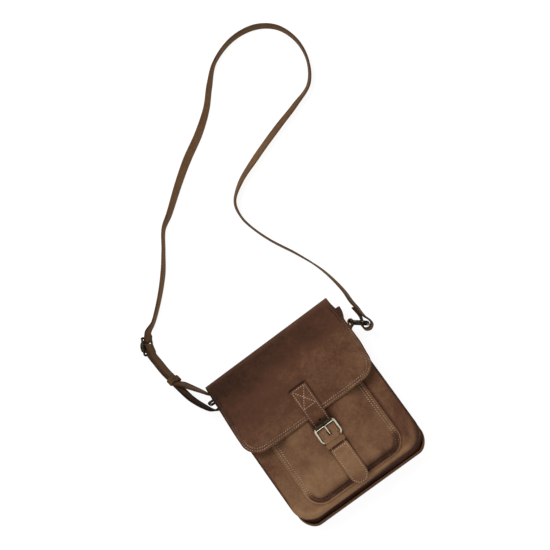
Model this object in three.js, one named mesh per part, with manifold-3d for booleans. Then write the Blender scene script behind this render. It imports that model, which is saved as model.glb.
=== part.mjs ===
import * as THREE from 'three';
import { mergeGeometries, mergeVertices } from 'three/addons/utils/BufferGeometryUtils.js';
import Module from 'manifold-3d';

// A crossbody bag of oiled brown leather, lying on its back with its long strap laid on the floor.
// Millimetres: +X is the bag's right, +Y its top and +Z its front. The origin is on the outside of
// the back panel, under the middle of the bag.

// Leather and clearances
const PANEL_WALL = 2.0;
const FLAP_WALL = 2.2;
const POCKET_WALL = 1.8;
const TAB_WALL = 1.6;
const CHAPE_WALL = 1.4;
const KEEPER_WALL = 1.2;
const GAP = 0.3;

// Body
const BODY_WIDTH = 200;
const BODY_BOTTOM = -116.5;
const BACK_CORNER = 20;
const FRONT_CORNER = 28;
const BACK_TOP = 113;
const BACK_SPLAY = 4.3;
const FRONT_TOP = 98;
const FRONT_FACE = 54;
const FRONT_TAPER = 3;
const FRONT_EDGE_FALL = 1.5;
const FRONT_SHOULDER = { fall: 3, reach: 20 };
const PANEL_ROLL = 6;
const FRONT_SKIRT = { side: 2.5, bottom: 4.5, corner: 5 };
const BACK_SKIRT = { side: 2.5, bottom: 11, corner: 4 };

// Gusset: the strip stands inside the panels' edges, its right end bows out and its left end is folded in
const GUSSET_INSET = PANEL_WALL + GAP;
const GUSSET_TOP = 99;
const GUSSET_TUCK = PANEL_ROLL - 0.1;
const RIGHT_BOW = { out: 11, from: 67, to: 99, low: 11, high: 38.5, ramp: 5 };
const LEFT_BOW = { out: -18, from: 22, to: 52, low: 9.5, high: 43.5, ramp: 4 };
const BOTTOM_RECESS = { left: 7, right: 2.5, low: 17, high: 42, ramp: 8 };
const MID_DEPTH = 27;

// Flap: a profile from its sewn root inside the back panel, over the fold, to its lower edge
const FLAP_PROFILE = [
  { y: 101, z: 3.5 },
  { y: 109, z: 3.9 },
  { y: 114.6, z: 8 },
  { y: 117, z: 17 },
  { y: 117.2, z: 28 },
  { y: 114.8, z: 39 },
  { y: 108, z: 48.4 },
  { y: 97, z: 53.5 },
  { y: 78, z: 55.6 },
  { y: 52, z: 59.2 },
  { y: 30, z: 63.6 },
  { y: 12, z: 66.6 },
  { y: -8, z: 67.3 },
];
const FLAP_ROOT_HALF = 92;
const FLAP_FOLD_HALF = 100.5;
const FLAP_WIDENING = { left: 3.2, right: 2.8, rightLow: 0.6 };
const FLAP_CORNER = 25;
const FLAP_DROOP = 5;
const FLAP_SKEW = 1.4;
const FLAP_CORNER_LIFT = 1.8;
const FLAP_EDGE = FLAP_PROFILE.at(-1).y;

// Front pocket: a patch sewn flat at its sides and puffed out in the middle and at the bottom
const POCKET_HALF = 74;
const POCKET_BOTTOM = -109.5;
const POCKET_MOUTH = 15;
const POCKET_CORNER = 23;
const POCKET_BULGE = 11;
const POCKET_MARGIN = 7.5;
const POCKET_SIDE_RAMP = 24;
const POCKET_BOTTOM_RAMP = 9;
const POCKET_MOUTH_FALL = 0.25;

// Closure: strap, buckle and keeper, with heights counted from the pocket's face under the buckle
const STRAP_HALF = 12.5;
const STRAP_WALL = 2.0;
const STRAP_TOP = 37;
const STRAP_ROUTE = [
  { y: -14, lift: 3.0 },
  { y: -21.5, lift: 2.4 },
  { y: -29, lift: 2.45 },
  { y: -35, lift: 4.0 },
  { y: -40.5, lift: 7.0 },
  { y: -46.6, lift: 8.4 },
  { y: -51.7, lift: 7.5 },
  { y: -57, lift: 6.5 },
  { y: -64, lift: 4.6 },
  { y: -70, lift: 2.7 },
  { y: -77, lift: 2.0 },
  { y: -97, lift: 1.8 },
  { y: -105, lift: -0.4 },
  { y: -111, lift: -3.8 },
  { y: -115, lift: -6.5 },
];
const STRAP_TIP_LENGTH = 13;
const SPARE_HOLE = { y: -16.7, radius: 2.0 };
const PRONG_SLOT = { from: -42.4, to: -33.2, half: 2.3 };
const HEEL_Y = -46.6;
const HEEL_LIFT = 3.6;
const BUCKLE = { width: 32.5, side: 3.1, heel: 2.4, front: 5.5, reach: 21.5, plate: 2.5, corner: 5 };
const BUCKLE_TILT = Math.atan2(1.7, BUCKLE.reach);
const PRONG_ROUTE = [
  { y: -44.1, lift: 3.7 },
  { y: -41, lift: 4.0 },
  { y: -37.5, lift: 5.3 },
  { y: -34, lift: 6.4 },
  { y: -30, lift: 7.4 },
  { y: -26.5, lift: 8.15 },
  { y: -23, lift: 8.2 },
];
const PRONG_RADIUS = 1.1;
const PRONG_EYE = { inner: 1.75, outer: 2.7, width: 4 };
const CHAPE = { half: 12, end: -62.5, seam: -61, loop: 2.6, slot: 5.4 };
const KEEPER = { y: -53.3, lift: 6.35, inside: 5.1, half: 12.9, band: 6.2, tilt: Math.PI / 18 };

// Side rings and the folded tabs that hold them: the bar in the tab, and the way the ring points
const RING = { reach: 23.1, opening: 16.5, wire: 3.6, corner: 4 };
const TAB = { width: 15, sewn: 14, neck: 6, loop: 3.5, wrap: 1.92 };
const RING_RIGHT = { side: 1, x: 108.4, y: 73, turn: Math.atan2(-14, 17.2), bow: RIGHT_BOW, foot: 48 };
const RING_LEFT = { side: -1, x: -85.6, y: 94.2, turn: Math.atan2(1, -23), bow: LEFT_BOW, foot: 62 };

// Shoulder strap: places on the floor plan, height of the lower edge and lean up from lying flat
const SHOULDER_WIDTH = 15;
const SHOULDER_WALL = 2.4;
const STRAND_STEP = 2.9;
const FLOOR_GAP = 0.2;
const DOUBLED = [
  { x: -131.2, y: 147.4, rise: 6.4, lean: 57 },
  { x: -132, y: 153.5, rise: 5.5, lean: 57 },
  { x: -135, y: 170, rise: 3.2, lean: 56 },
  { x: -136.2, y: 186, rise: 2.6, lean: 56 },
];
const LEFT_LOWER_STRAND = [
  { x: -96.2, y: 88.4, rise: 19.5, lean: 90 },
  { x: -99.3, y: 84.2, rise: 19.5, lean: 90 },
  { x: -105, y: 83, rise: 19.4, lean: 86 },
  { x: -111, y: 87.2, rise: 18.8, lean: 74 },
  { x: -117.2, y: 98, rise: 17, lean: 65 },
  { x: -125, y: 117, rise: 12.8, lean: 60 },
  { x: -128.8, y: 134, rise: 8.8, lean: 58 },
  ...DOUBLED,
];
const LEFT_UPPER_STRAND = [
  { x: -95.8, y: 89.9, rise: 19.5, lean: 90 },
  { x: -95.3, y: 94.5, rise: 19.5, lean: 90 },
  { x: -97.4, y: 100, rise: 19.5, lean: 88 },
  { x: -102.8, y: 107, rise: 19, lean: 82 },
  { x: -108.6, y: 117, rise: 16.6, lean: 72 },
  { x: -117.6, y: 131.6, rise: 12, lean: 62 },
  { x: -123.4, y: 141, rise: 8.8, lean: 58 },
];
const SLIDER = { x: -134, y: 213.6, rise: 0.4, lean: 57, aim: Math.atan2(0.91, 0.42) };
const SLIDER_PLATE = { length: 27, width: 21.6, bar: 3, middle: 2.6, plate: 2.4, corner: 2.5 };
const THREADED_STRAND = [
  { along: -12, off: 3 },
  { along: -9.6, off: 2.7 },
  { along: -7.6, off: 0.9 },
  { along: -6.9, off: -2 },
  { along: -5, off: -5 },
  { along: 0, off: -6.2 },
  { along: 5.2, off: -5 },
  { along: 7.2, off: -2 },
  { along: 7.6, off: 0.9 },
  { along: 9.6, off: 2.8 },
  { along: 12, off: 3.3 },
  { along: 14.8, off: 4.5 },
];
const SEWN_STRAND = [
  { along: -12, off: 6 },
  { along: -7, off: 5.6 },
  { along: -2.5, off: 4.1 },
  { along: 1.7, off: 2.9 },
  { along: 3.3, off: 0 },
  { along: 1.7, off: -2.8 },
  { along: -1.2, off: -3 },
];
const LONG_RUN = [
  { x: -120.6, y: 230.6, rise: 3.6, lean: 76 },
  { x: -109.8, y: 236.8, rise: 1, lean: 88 },
  { x: -82.6, y: 260.9, rise: 0, lean: 84 },
  { x: -58.9, y: 286.6, rise: 0, lean: 80 },
  { x: -41, y: 311.5, rise: 0, lean: 86 },
  { x: -23.3, y: 336.6, rise: 0, lean: 86 },
  { x: -5.8, y: 348.8, rise: 0, lean: 76 },
  { x: 28.9, y: 376.2, rise: 0, lean: 66 },
  { x: 57.6, y: 396.8, rise: 0, lean: 60 },
  { x: 92.6, y: 418.1, rise: 0, lean: 62 },
  { x: 121.4, y: 440.8, rise: 0, lean: 71 },
  { x: 143.3, y: 464.9, rise: 0, lean: 74 },
  { x: 168.7, y: 488.3, rise: 0, lean: 90 },
  { x: 207.6, y: 500.7, rise: 0, lean: 86 },
  { x: 242.8, y: 495.3, rise: 0, lean: 82 },
  { x: 267, y: 476.1, rise: 0, lean: 82 },
  { x: 277.8, y: 445.1, rise: 0, lean: 82 },
  { x: 273.7, y: 411.8, rise: 0, lean: 80 },
  { x: 254.8, y: 382.8, rise: 0, lean: 66 },
  { x: 222.6, y: 370.2, rise: 0, lean: 52 },
  { x: 183.8, y: 358.5, rise: 0, lean: 45 },
  { x: 134.1, y: 341.2, rise: 0, lean: 46 },
  { x: 98.9, y: 325.9, rise: 0, lean: 58 },
  { x: 77.3, y: 307.5, rise: 0, lean: 75 },
  { x: 72.5, y: 285.3, rise: 0, lean: 86 },
  { x: 76.1, y: 263.4, rise: 0, lean: 91 },
  { x: 86.5, y: 233.7, rise: 0.2, lean: 92 },
  { x: 104.1, y: 197.3, rise: 1.6, lean: 93 },
  { x: 119, y: 157.6, rise: 6.5, lean: 98 },
  { x: 125.6, y: 117.1, rise: 14, lean: 103 },
];
const RIGHT_END = [
  { x: 125.4, y: 95.5, rise: 17.6, lean: 107 },
  { x: 126.4, y: 85, rise: 18.6, lean: 106 },
  { x: 126.8, y: 75, rise: 19.2, lean: 102 },
  { x: 128, y: 68, rise: 19.5, lean: 98 },
  { x: 130.5, y: 61.2, rise: 19.5, lean: 96 },
  { x: 130.2, y: 55, rise: 19.5, lean: 96 },
  { x: 124.8, y: 51.6, rise: 19.5, lean: 96 },
  { x: 119, y: 54, rise: 19.5, lean: 92 },
  { x: 118, y: 59.4, rise: 19.5, lean: 86 },
  { x: 121.2, y: 65, rise: 19.5, lean: 85 },
  { x: 123.2, y: 71.5, rise: 19.5, lean: 82 },
  { x: 123.5, y: 79, rise: 19.2, lean: 76 },
  { x: 122.9, y: 87, rise: 18.8, lean: 74 },
];
const STRAP_LOOP = { width: 16.2, depth: 6.4, wall: 1.5, band: 9 };

// Finishes
const BROWN_LEATHER = { color: 0x6a4a38, roughness: 0.55, metalness: 0 };
const DARK_LEATHER = { color: 0x4a3126, roughness: 0.6, metalness: 0 };
const STRAP_LEATHER = { color: 0x63492f, roughness: 0.6, metalness: 0 };
const ANTIQUE_BRASS = { color: 0x8a7a5c, roughness: 0.35, metalness: 1 };

const wasm = await Module();
wasm.setup();

const point = (x, y, z) => new THREE.Vector3(x, y, z);
const ease = (t) => THREE.MathUtils.smoothstep(t, 0, 1);
const clamp01 = (t) => THREE.MathUtils.clamp(t, 0, 1);

function spread(from, to, steps) {
  return Array.from({ length: steps + 1 }, (_, k) => from + ((to - from) * k) / steps);
}


// A patch of surface from rows of points, facing the way that (along a row) x (row to row) points
function patch(rows) {
  const columns = rows[0].length;
  const geometry = new THREE.BufferGeometry().setFromPoints(rows.flat());
  const index = [];
  for (let i = 0; i + 1 < rows.length; i++) {
    for (let j = 0; j + 1 < columns; j++) {
      const a = i * columns + j;
      index.push(a, a + 1, a + columns, a + 1, a + columns + 1, a + columns);
    }
  }
  geometry.setIndex(index);
  return geometry;
}

function bare(geometry) {
  const plain = geometry.clone();
  plain.deleteAttribute('normal');
  plain.deleteAttribute('uv');
  return mergeVertices(plain, 1e-3);
}

// Leather of even thickness behind a surface: the outer face stands proud of it, and rims close every edge
function leather(patches, wall, proud = 0) {
  const skin = bare(mergeGeometries(patches));
  skin.computeVertexNormals();
  const count = skin.attributes.position.count;
  const vertices = [];
  for (const depth of [-proud, wall - proud]) {
    for (let k = 0; k < count; k++) {
      const place = point().fromBufferAttribute(skin.attributes.position, k);
      const normal = point().fromBufferAttribute(skin.attributes.normal, k);
      vertices.push(place.addScaledVector(normal, -depth));
    }
  }
  const faces = [];
  const edges = new Map();
  const source = skin.index.array;
  for (let k = 0; k < source.length; k += 3) {
    const [a, b, c] = [source[k], source[k + 1], source[k + 2]];
    if (a === b || b === c || c === a) continue;
    faces.push(a, b, c, a + count, c + count, b + count);
    for (const [from, to] of [[a, b], [b, c], [c, a]]) edges.set(`${from} ${to}`, [from, to]);
  }
  for (const [from, to] of edges.values()) {
    if (edges.has(`${to} ${from}`)) continue;
    faces.push(to, from, from + count, to, from + count, to + count);
  }
  const geometry = new THREE.BufferGeometry().setFromPoints(vertices);
  geometry.setIndex(faces);
  geometry.computeVertexNormals();
  return geometry;
}

function toSolid(geometry) {
  const closed = bare(geometry);
  const vertProperties = closed.attributes.position.array;
  const triVerts = new Uint32Array(closed.index.array);
  return new wasm.Manifold(new wasm.Mesh({ numProp: 3, vertProperties, triVerts }));
}

function fromSolid(solid) {
  const mesh = solid.getMesh();
  const geometry = new THREE.BufferGeometry();
  geometry.setAttribute('position', new THREE.BufferAttribute(new Float32Array(mesh.vertProperties), 3));
  geometry.setIndex(new THREE.BufferAttribute(new Uint32Array(mesh.triVerts), 1));
  geometry.computeVertexNormals();
  return geometry;
}

function roundedRectangle(path, width, height, radius) {
  const x = width / 2;
  const y = height / 2;
  path.moveTo(-x + radius, -y);
  path.lineTo(x - radius, -y).absarc(x - radius, -y + radius, radius, -Math.PI / 2, 0);
  path.lineTo(x, y - radius).absarc(x - radius, y - radius, radius, 0, Math.PI / 2);
  path.lineTo(-x + radius, y).absarc(-x + radius, y - radius, radius, Math.PI / 2, Math.PI);
  path.lineTo(-x, -y + radius).absarc(-x + radius, -y + radius, radius, Math.PI, 1.5 * Math.PI);
  return path;
}

// A plate with rounded windows, eased along its edges and centred on its own mid-plane
function windowedPlate(width, height, radius, windows, depth, easing, easingSteps = 1) {
  const shape = roundedRectangle(new THREE.Shape(), width, height, radius);
  for (const w of windows) {
    const hole = roundedRectangle(new THREE.Path(), w.width, w.height, w.radius);
    const points = hole.getPoints(3).map((p) => p.add(new THREE.Vector2(w.x, w.y)));
    shape.holes.push(new THREE.Path(points));
  }
  const geometry = new THREE.ExtrudeGeometry(shape, {
    depth: depth - 2 * easing,
    bevelEnabled: easing > 0,
    bevelThickness: easing,
    bevelSize: easing,
    bevelOffset: -easing,
    bevelSegments: easingSteps,
    curveSegments: 3,
  });
  return geometry.translate(0, 0, easing - depth / 2);
}

// The front panel's face, lower towards the top, at its sides and over its bottom edge
function frontFace(x, y) {
  const up = (y - BODY_BOTTOM) / (FRONT_TOP - BODY_BOTTOM);
  const shoulder = FRONT_SHOULDER.fall * ease((BODY_BOTTOM - y) / FRONT_SHOULDER.reach + 1);
  return FRONT_FACE - FRONT_TAPER * up - FRONT_EDGE_FALL * (2 * x / BODY_WIDTH) ** 4 - shoulder;
}

// Plan outline of the body, down the left side, round the bottom and up the right side
function bodyOutline(inset, top, corner, counts) {
  const side = BODY_WIDTH / 2 - inset;
  const bottom = BODY_BOTTOM + inset;
  const radius = corner - inset;
  const left = [];
  for (const y of spread(top, bottom + radius, counts.side)) left.push({ x: -side, y, ox: -1, oy: 0 });
  for (const turn of spread(0, Math.PI / 2, counts.corner).slice(1)) {
    const [ox, oy] = [-Math.cos(turn), -Math.sin(turn)];
    left.push({ x: -side + radius + radius * ox, y: bottom + radius + radius * oy, ox, oy });
  }
  const half = side - radius;
  const flat = spread(-half, half, counts.bottom).slice(1, -1).map((x) => ({ x, y: bottom, ox: 0, oy: -1 }));
  const right = left.map((p) => ({ x: -p.x, y: p.y, ox: -p.ox, oy: p.oy })).reverse();
  return { left, flat, right, all: [...left, ...flat, ...right] };
}

// A flat face whose sides and bottom roll over by a quarter turn and end in a skirt, longest at the corners.
// `face` gives the height of the flat and `inward` is the way the skirt goes from it.
function tray(top, corner, drop, face, inward, skirt) {
  const outline = bodyOutline(0, top, corner, { side: 4, corner: 4, bottom: 6 });
  const rolled = (p, turn, beyond) => {
    const x = p.x - p.ox * PANEL_ROLL * (1 - Math.sin(turn));
    const y = p.y - p.oy * PANEL_ROLL * (1 - Math.sin(turn));
    const depth = PANEL_ROLL * (1 - Math.cos(turn)) + beyond;
    return point(x, y - drop * p.oy ** 2, face(x, y) + inward * depth);
  };
  const skirted = (p) => {
    const length = skirt.side - skirt.bottom * p.oy + skirt.corner * (2 * p.ox * p.oy) ** 2;
    return rolled(p, Math.PI / 2, length);
  };
  const turns = spread(0, Math.PI / 2, 3);
  const rim = outline.all.map((p) => [...turns.map((t) => rolled(p, t, 0)), skirted(p)]);
  const last = outline.left.length - 1;
  const rows = outline.left.map((p, i) => {
    const start = rolled(p, 0, 0);
    const end = rolled(outline.right[last - i], 0, 0);
    const inner = outline.flat.map((q, j) => {
      if (i === last) return rolled(q, 0, 0);
      const x = THREE.MathUtils.lerp(start.x, end.x, (j + 1) / (outline.flat.length + 1));
      return point(x, start.y, face(x, start.y));
    });
    return [start, ...inner, end];
  });
  if (inward > 0) return leather([patch(rows), patch(rim.reverse())], PANEL_WALL);
  return leather([patch(rows.reverse()), patch(rim)], PANEL_WALL);
}

function backPanel() {
  return tray(BACK_TOP, BACK_CORNER, BACK_SPLAY, () => 0, 1, BACK_SKIRT);
}

function frontPanel() {
  return tray(FRONT_TOP, FRONT_CORNER, 0, frontFace, -1, FRONT_SKIRT);
}

function gussetBow(bow, y, z) {
  const across = ease(Math.min(z - bow.low, bow.high - z) / bow.ramp);
  return bow.out * ease((y - bow.from) / (bow.to - bow.from)) * across;
}

// The strip follows the front panel's outline at its front edge and the back panel's at its back edge
function gusset() {
  const counts = { side: 12, corner: 4, bottom: 6 };
  const front = bodyOutline(GUSSET_INSET, GUSSET_TOP, FRONT_CORNER, counts).all;
  const back = bodyOutline(GUSSET_INSET, GUSSET_TOP, BACK_CORNER, counts).all;
  const rows = front.map((q, i) => {
    const bow = q.x < 0 ? LEFT_BOW : RIGHT_BOW;
    const low = GUSSET_TUCK;
    const high = frontFace(BODY_WIDTH / 2, q.y) - GUSSET_TUCK;
    return spread(0, 1, 8).map((depth) => {
      const z = THREE.MathUtils.lerp(high, low, depth);
      const share = ease((depth - 0.22) / 0.5);
      const x = THREE.MathUtils.lerp(q.x, back[i].x, share);
      const p = { ...q, x, y: THREE.MathUtils.lerp(q.y, back[i].y, share) };
      const splay = BACK_SPLAY * ease((33 - z) / 20);
      const inset = ease(Math.min(z - BOTTOM_RECESS.low, BOTTOM_RECESS.high - z) / BOTTOM_RECESS.ramp);
      const recess = THREE.MathUtils.lerp(BOTTOM_RECESS.left, BOTTOM_RECESS.right, ease((q.x - 5) / 55));
      const out = splay - recess * inset;
      return point(p.x + p.ox * gussetBow(bow, p.y, z), p.y - p.oy * p.oy * out, z);
    });
  });
  return leather([patch(rows)], PANEL_WALL - 0.2);
}

const flapPlaces = FLAP_PROFILE.map((p) => point(0, p.y, p.z));
const flapCurve = new THREE.CatmullRomCurve3(flapPlaces, false, 'centripetal');
const FLAP_FOLD_AT = 4 / (FLAP_PROFILE.length - 1);

function flapHalfWidth(y, overFold, side) {
  if (!overFold) return THREE.MathUtils.lerp(FLAP_ROOT_HALF, FLAP_FOLD_HALF, ease((y - 113) / 4));
  const right = THREE.MathUtils.lerp(FLAP_WIDENING.right, FLAP_WIDENING.rightLow, ease((42 - y) / 28));
  const widening = side < 0 ? FLAP_WIDENING.left * ease((110 - y) / 85) : right * ease((108 - y) / 25);
  const widest = FLAP_FOLD_HALF + widening;
  const short = Math.max(0, FLAP_EDGE + FLAP_CORNER - y);
  return widest - FLAP_CORNER + Math.sqrt(FLAP_CORNER ** 2 - Math.min(short, FLAP_CORNER) ** 2);
}

function flapPoint(t, across) {
  const p = flapCurve.getPoint(t);
  const overFold = t > FLAP_FOLD_AT;
  const x = across * flapHalfWidth(p.y, overFold, across);
  const droop = overFold ? FLAP_DROOP * ease((Math.abs(x) - 60) / 45) * ease((95 - p.y) / 60) : 0;
  const lift = overFold ? FLAP_CORNER_LIFT * ease((Math.abs(x) - 40) / 60) * ease((30 - p.y) / 38) : 0;
  const skew = FLAP_SKEW * (x / FLAP_FOLD_HALF) * ease((p.y - 40) / 70) * ease((p.z - 5) / 15);
  return point(x, p.y + skew + lift, p.z - droop);
}

function flap() {
  const steps = [...spread(0, 11 / 12, 22), ...spread(11 / 12, 1, 8).slice(1)];
  const rows = steps.map((t) => spread(1, -1, 14).map((across) => flapPoint(t, across)));
  return leather([patch(rows)], FLAP_WALL, FLAP_WALL / 2);
}

// The pocket's outer face: its bulge is a ramp from the sides times a steep ramp from the bottom
function pocketFace(x, y) {
  const side = ease((POCKET_HALF - Math.abs(x) - POCKET_MARGIN) / POCKET_SIDE_RAMP);
  const bottom = 1 - (1 - clamp01((y - POCKET_BOTTOM - POCKET_MARGIN) / POCKET_BOTTOM_RAMP)) ** 2.2;
  const mouth = 1 - POCKET_MOUTH_FALL * ease((y + 10) / 25);
  return frontFace(x, y) + GAP + POCKET_WALL + POCKET_BULGE * side * bottom * mouth;
}

function frontPocket() {
  const rise = [0, 1.5, 4, 7.5, 8.5, 10, 12, 14.2, 16.5, 23, 36, 52, 68, 84, 99, 112];
  const rows = [...rise.map((r) => POCKET_BOTTOM + r), POCKET_MOUTH].map((y) => {
    const short = Math.max(0, POCKET_BOTTOM + POCKET_CORNER - y);
    const half = POCKET_HALF - POCKET_CORNER + Math.sqrt(POCKET_CORNER ** 2 - short ** 2);
    return spread(-1, 1, 16).map((across) => point(across * half, y, pocketFace(across * half, y)));
  });
  return leather([patch(rows)], POCKET_WALL);
}

const SEAT = pocketFace(0, HEEL_Y);

function closureCurve() {
  const onFlap = [STRAP_TOP, 24, 12, 0, FLAP_EDGE + 2].map((y) => {
    const t = spread(0.5, 1, 400).find((s) => flapCurve.getPoint(s).y <= y);
    return point(0, y, flapCurve.getPoint(t).z + FLAP_WALL / 2 + 1.5 * GAP + STRAP_WALL / 2);
  });
  const free = STRAP_ROUTE.map((row) => point(0, row.y, SEAT + row.lift));
  return new THREE.CatmullRomCurve3([...onFlap, ...free], false, 'centripetal');
}

// A long cutter standing through the strap, round or drawn out along it
function punch(from, to, radius) {
  const shape = new THREE.Shape();
  shape.absarc(0, to - radius, radius, 0, Math.PI);
  shape.absarc(0, from + radius, radius, Math.PI, 2 * Math.PI);
  const geometry = new THREE.ExtrudeGeometry(shape, { depth: 40, bevelEnabled: false, curveSegments: 8 });
  return geometry.translate(0, 0, SEAT - 20);
}

function closureStrap() {
  const curve = closureCurve();
  const tip = STRAP_ROUTE.at(-1).y;
  const rows = spread(0, 1, 66).map((t) => {
    const p = curve.getPoint(t);
    const along = clamp01((tip + STRAP_TIP_LENGTH - p.y) / STRAP_TIP_LENGTH);
    const half = Math.max(STRAP_HALF * Math.sqrt(1 - along ** 2.4), 2);
    return [half, -half].map((x) => point(x, p.y, p.z));
  });
  const strap = toSolid(leather([patch(rows)], STRAP_WALL, STRAP_WALL / 2));
  const spare = punch(SPARE_HOLE.y - SPARE_HOLE.radius, SPARE_HOLE.y + SPARE_HOLE.radius, SPARE_HOLE.radius);
  const slot = punch(PRONG_SLOT.from, PRONG_SLOT.to, PRONG_SLOT.half);
  return fromSolid(strap.subtract(toSolid(spare)).subtract(toSolid(slot)));
}

function buckleFrame() {
  const length = BUCKLE.reach + BUCKLE.front / 2 + BUCKLE.heel / 2;
  const opening = BUCKLE.reach - BUCKLE.front / 2 - BUCKLE.heel / 2;
  const window = {
    x: 0,
    y: (BUCKLE.heel - BUCKLE.front) / 2,
    width: BUCKLE.width - 2 * BUCKLE.side,
    height: opening,
    radius: 2,
  };
  const geometry = windowedPlate(BUCKLE.width, length, BUCKLE.corner, [window], BUCKLE.plate, 0.7, 2);
  return geometry.translate(0, length / 2 - BUCKLE.heel / 2, 0);
}

// The prong is one piece: an eye round the heel bar and a round finger that rests on the front bar
function buckleProng() {
  const eye = new THREE.Shape().absarc(0, 0, PRONG_EYE.outer, 0, 2 * Math.PI);
  eye.holes.push(new THREE.Path().absarc(0, 0, PRONG_EYE.inner, 0, 2 * Math.PI));
  const flat = { depth: PRONG_EYE.width, bevelEnabled: false, curveSegments: 10 };
  const eyeShape = new THREE.ExtrudeGeometry(eye, flat);
  eyeShape.translate(0, 0, -PRONG_EYE.width / 2).rotateY(Math.PI / 2).translate(0, HEEL_Y, SEAT + HEEL_LIFT);
  const section = new THREE.Shape(
    spread(0, 2 * Math.PI, 8).slice(0, -1).map((a) => new THREE.Vector2(
      PRONG_RADIUS * Math.cos(a),
      PRONG_RADIUS * Math.sin(a),
    )),
  );
  const route = PRONG_ROUTE.map((row) => point(0, row.y, SEAT + row.lift));
  const extrudePath = new THREE.CatmullRomCurve3(route, false, 'centripetal');
  const finger = new THREE.ExtrudeGeometry(section, { steps: 14, extrudePath });
  return fromSolid(toSolid(eyeShape).add(toSolid(finger)));
}

// A strip folded round the heel bar, its upper layer sewn down on the lower, slotted for the prong
function buckleChape() {
  const low = SEAT + GAP + CHAPE_WALL / 2;
  const axis = SEAT + HEEL_LIFT;
  const around = spread(-Math.PI / 2, Math.PI / 2, 8).map((a) => ({
    y: HEEL_Y + CHAPE.loop * Math.cos(a),
    z: axis + CHAPE.loop * Math.sin(a),
  }));
  const profile = [
    { y: CHAPE.end, z: low + 0.4 },
    { y: HEEL_Y - 8, z: low + 0.15 },
    ...around,
    { y: HEEL_Y - 9, z: axis + CHAPE.loop - 1.7 },
    { y: CHAPE.seam, z: low + 0.4 + CHAPE_WALL + GAP },
  ];
  const rows = profile.map((p) => spread(CHAPE.half, -CHAPE.half, 2).map((x) => point(x, p.y, p.z)));
  const strip = toSolid(leather([patch(rows)], CHAPE_WALL, CHAPE_WALL / 2));
  const slot = new THREE.BoxGeometry(CHAPE.slot, 12, 12).translate(0, HEEL_Y + 1, axis);
  return fromSolid(strip.subtract(toSolid(slot)));
}

// A flat band bent into a loop, lying in its own XY plane and as wide along Z as the band
function bandLoop(width, height, wall, band) {
  const window = { x: 0, y: 0, width, height, radius: 0.6 };
  return windowedPlate(width + 2 * wall, height + 2 * wall, 0.6 + wall, [window], band, 0);
}

// A ring standing on edge: its own X runs from the bar in the tab to the outer bar
function sideRing() {
  const window = { x: 0, y: 0, width: RING.reach - RING.wire, height: RING.opening, radius: 2 };
  const outer = [RING.reach + RING.wire, RING.opening + 2 * RING.wire];
  const geometry = windowedPlate(...outer, RING.corner, [window], RING.wire, 0.9);
  return geometry.translate(RING.reach / 2, 0, 0).rotateX(Math.PI / 2);
}

// A strip up the gusset, out to the ring's bar, round it and back down on itself
function ringTab(ring) {
  const wallX = (y) => ring.side * (BODY_WIDTH / 2 - GUSSET_INSET + gussetBow(ring.bow, y, MID_DEPTH));
  const first = GAP + TAB_WALL / 2;
  const second = first + TAB_WALL + GAP;
  const foot = spread(ring.foot, ring.foot + TAB.sewn, 3);
  const layer = (off) => foot.map((y) => new THREE.Vector2(wallX(y) + ring.side * off, y));
  const [up, down] = [layer(first), layer(second).reverse()];
  const bar = new THREE.Vector2(ring.x, ring.y);
  const way = bar.clone().sub(up.at(-1)).normalize();
  const inner = new THREE.Vector2(-way.y, way.x).multiplyScalar(ring.side);
  const beside = (along, off) => bar.clone().addScaledVector(way, along).addScaledVector(inner, off);
  const over = spread(TAB.wrap, -TAB.wrap, 8)
    .map((a) => beside(TAB.loop * Math.cos(a), TAB.loop * Math.sin(a)));
  const half = (TAB_WALL + GAP) / 2;
  const path = [...up, beside(-TAB.neck, half), ...over, beside(-TAB.neck, -half), ...down];
  const rows = path.map((p) => [-0.5, 0.5].map((k) => point(p.x, p.y, MID_DEPTH + k * TAB.width)));
  return leather([patch(rows)], TAB_WALL, TAB_WALL / 2);
}

// The way across the strap, from its lower to its upper edge, leaning to the left of its way
function leaning(dx, dy, lean) {
  const angle = THREE.MathUtils.degToRad(lean);
  const left = point(-dy, dx, 0).normalize();
  return left.multiplyScalar(Math.cos(angle)).add(point(0, 0, Math.sin(angle)));
}

function middleHeight(rise, lean) {
  const angle = THREE.MathUtils.degToRad(lean);
  return rise + (SHOULDER_WIDTH / 2) * Math.sin(angle) + (SHOULDER_WALL / 2) * Math.cos(angle) + FLOOR_GAP;
}

// Stations of a strap laid by its rows: its middle, moved off its face by `off`, and the way across it
function laid(rows, off = 0) {
  return rows.map((row, k) => {
    const before = rows[Math.max(k - 1, 0)];
    const after = rows[Math.min(k + 1, rows.length - 1)];
    const along = point(after.x - before.x, after.y - before.y, 0).normalize();
    const across = leaning(along.x, along.y, row.lean);
    const face = along.clone().cross(across);
    const place = point(row.x, row.y, middleHeight(row.rise, row.lean)).addScaledVector(face, off);
    return { place, across };
  });
}

const sliderAlong = point(Math.cos(SLIDER.aim), Math.sin(SLIDER.aim), 0);
const sliderAcross = leaning(sliderAlong.x, sliderAlong.y, SLIDER.lean);
const sliderFace = sliderAlong.clone().cross(sliderAcross);
const sliderRise = SLIDER.rise + (SLIDER_PLATE.width - SHOULDER_WIDTH) / 2;
const sliderPlace = point(SLIDER.x, SLIDER.y, middleHeight(sliderRise, SLIDER.lean));

function throughSlider(rows) {
  return rows.map((row) => ({
    place: sliderPlace.clone().addScaledVector(sliderAlong, row.along).addScaledVector(sliderFace, row.off),
    across: sliderAcross,
  }));
}

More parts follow.
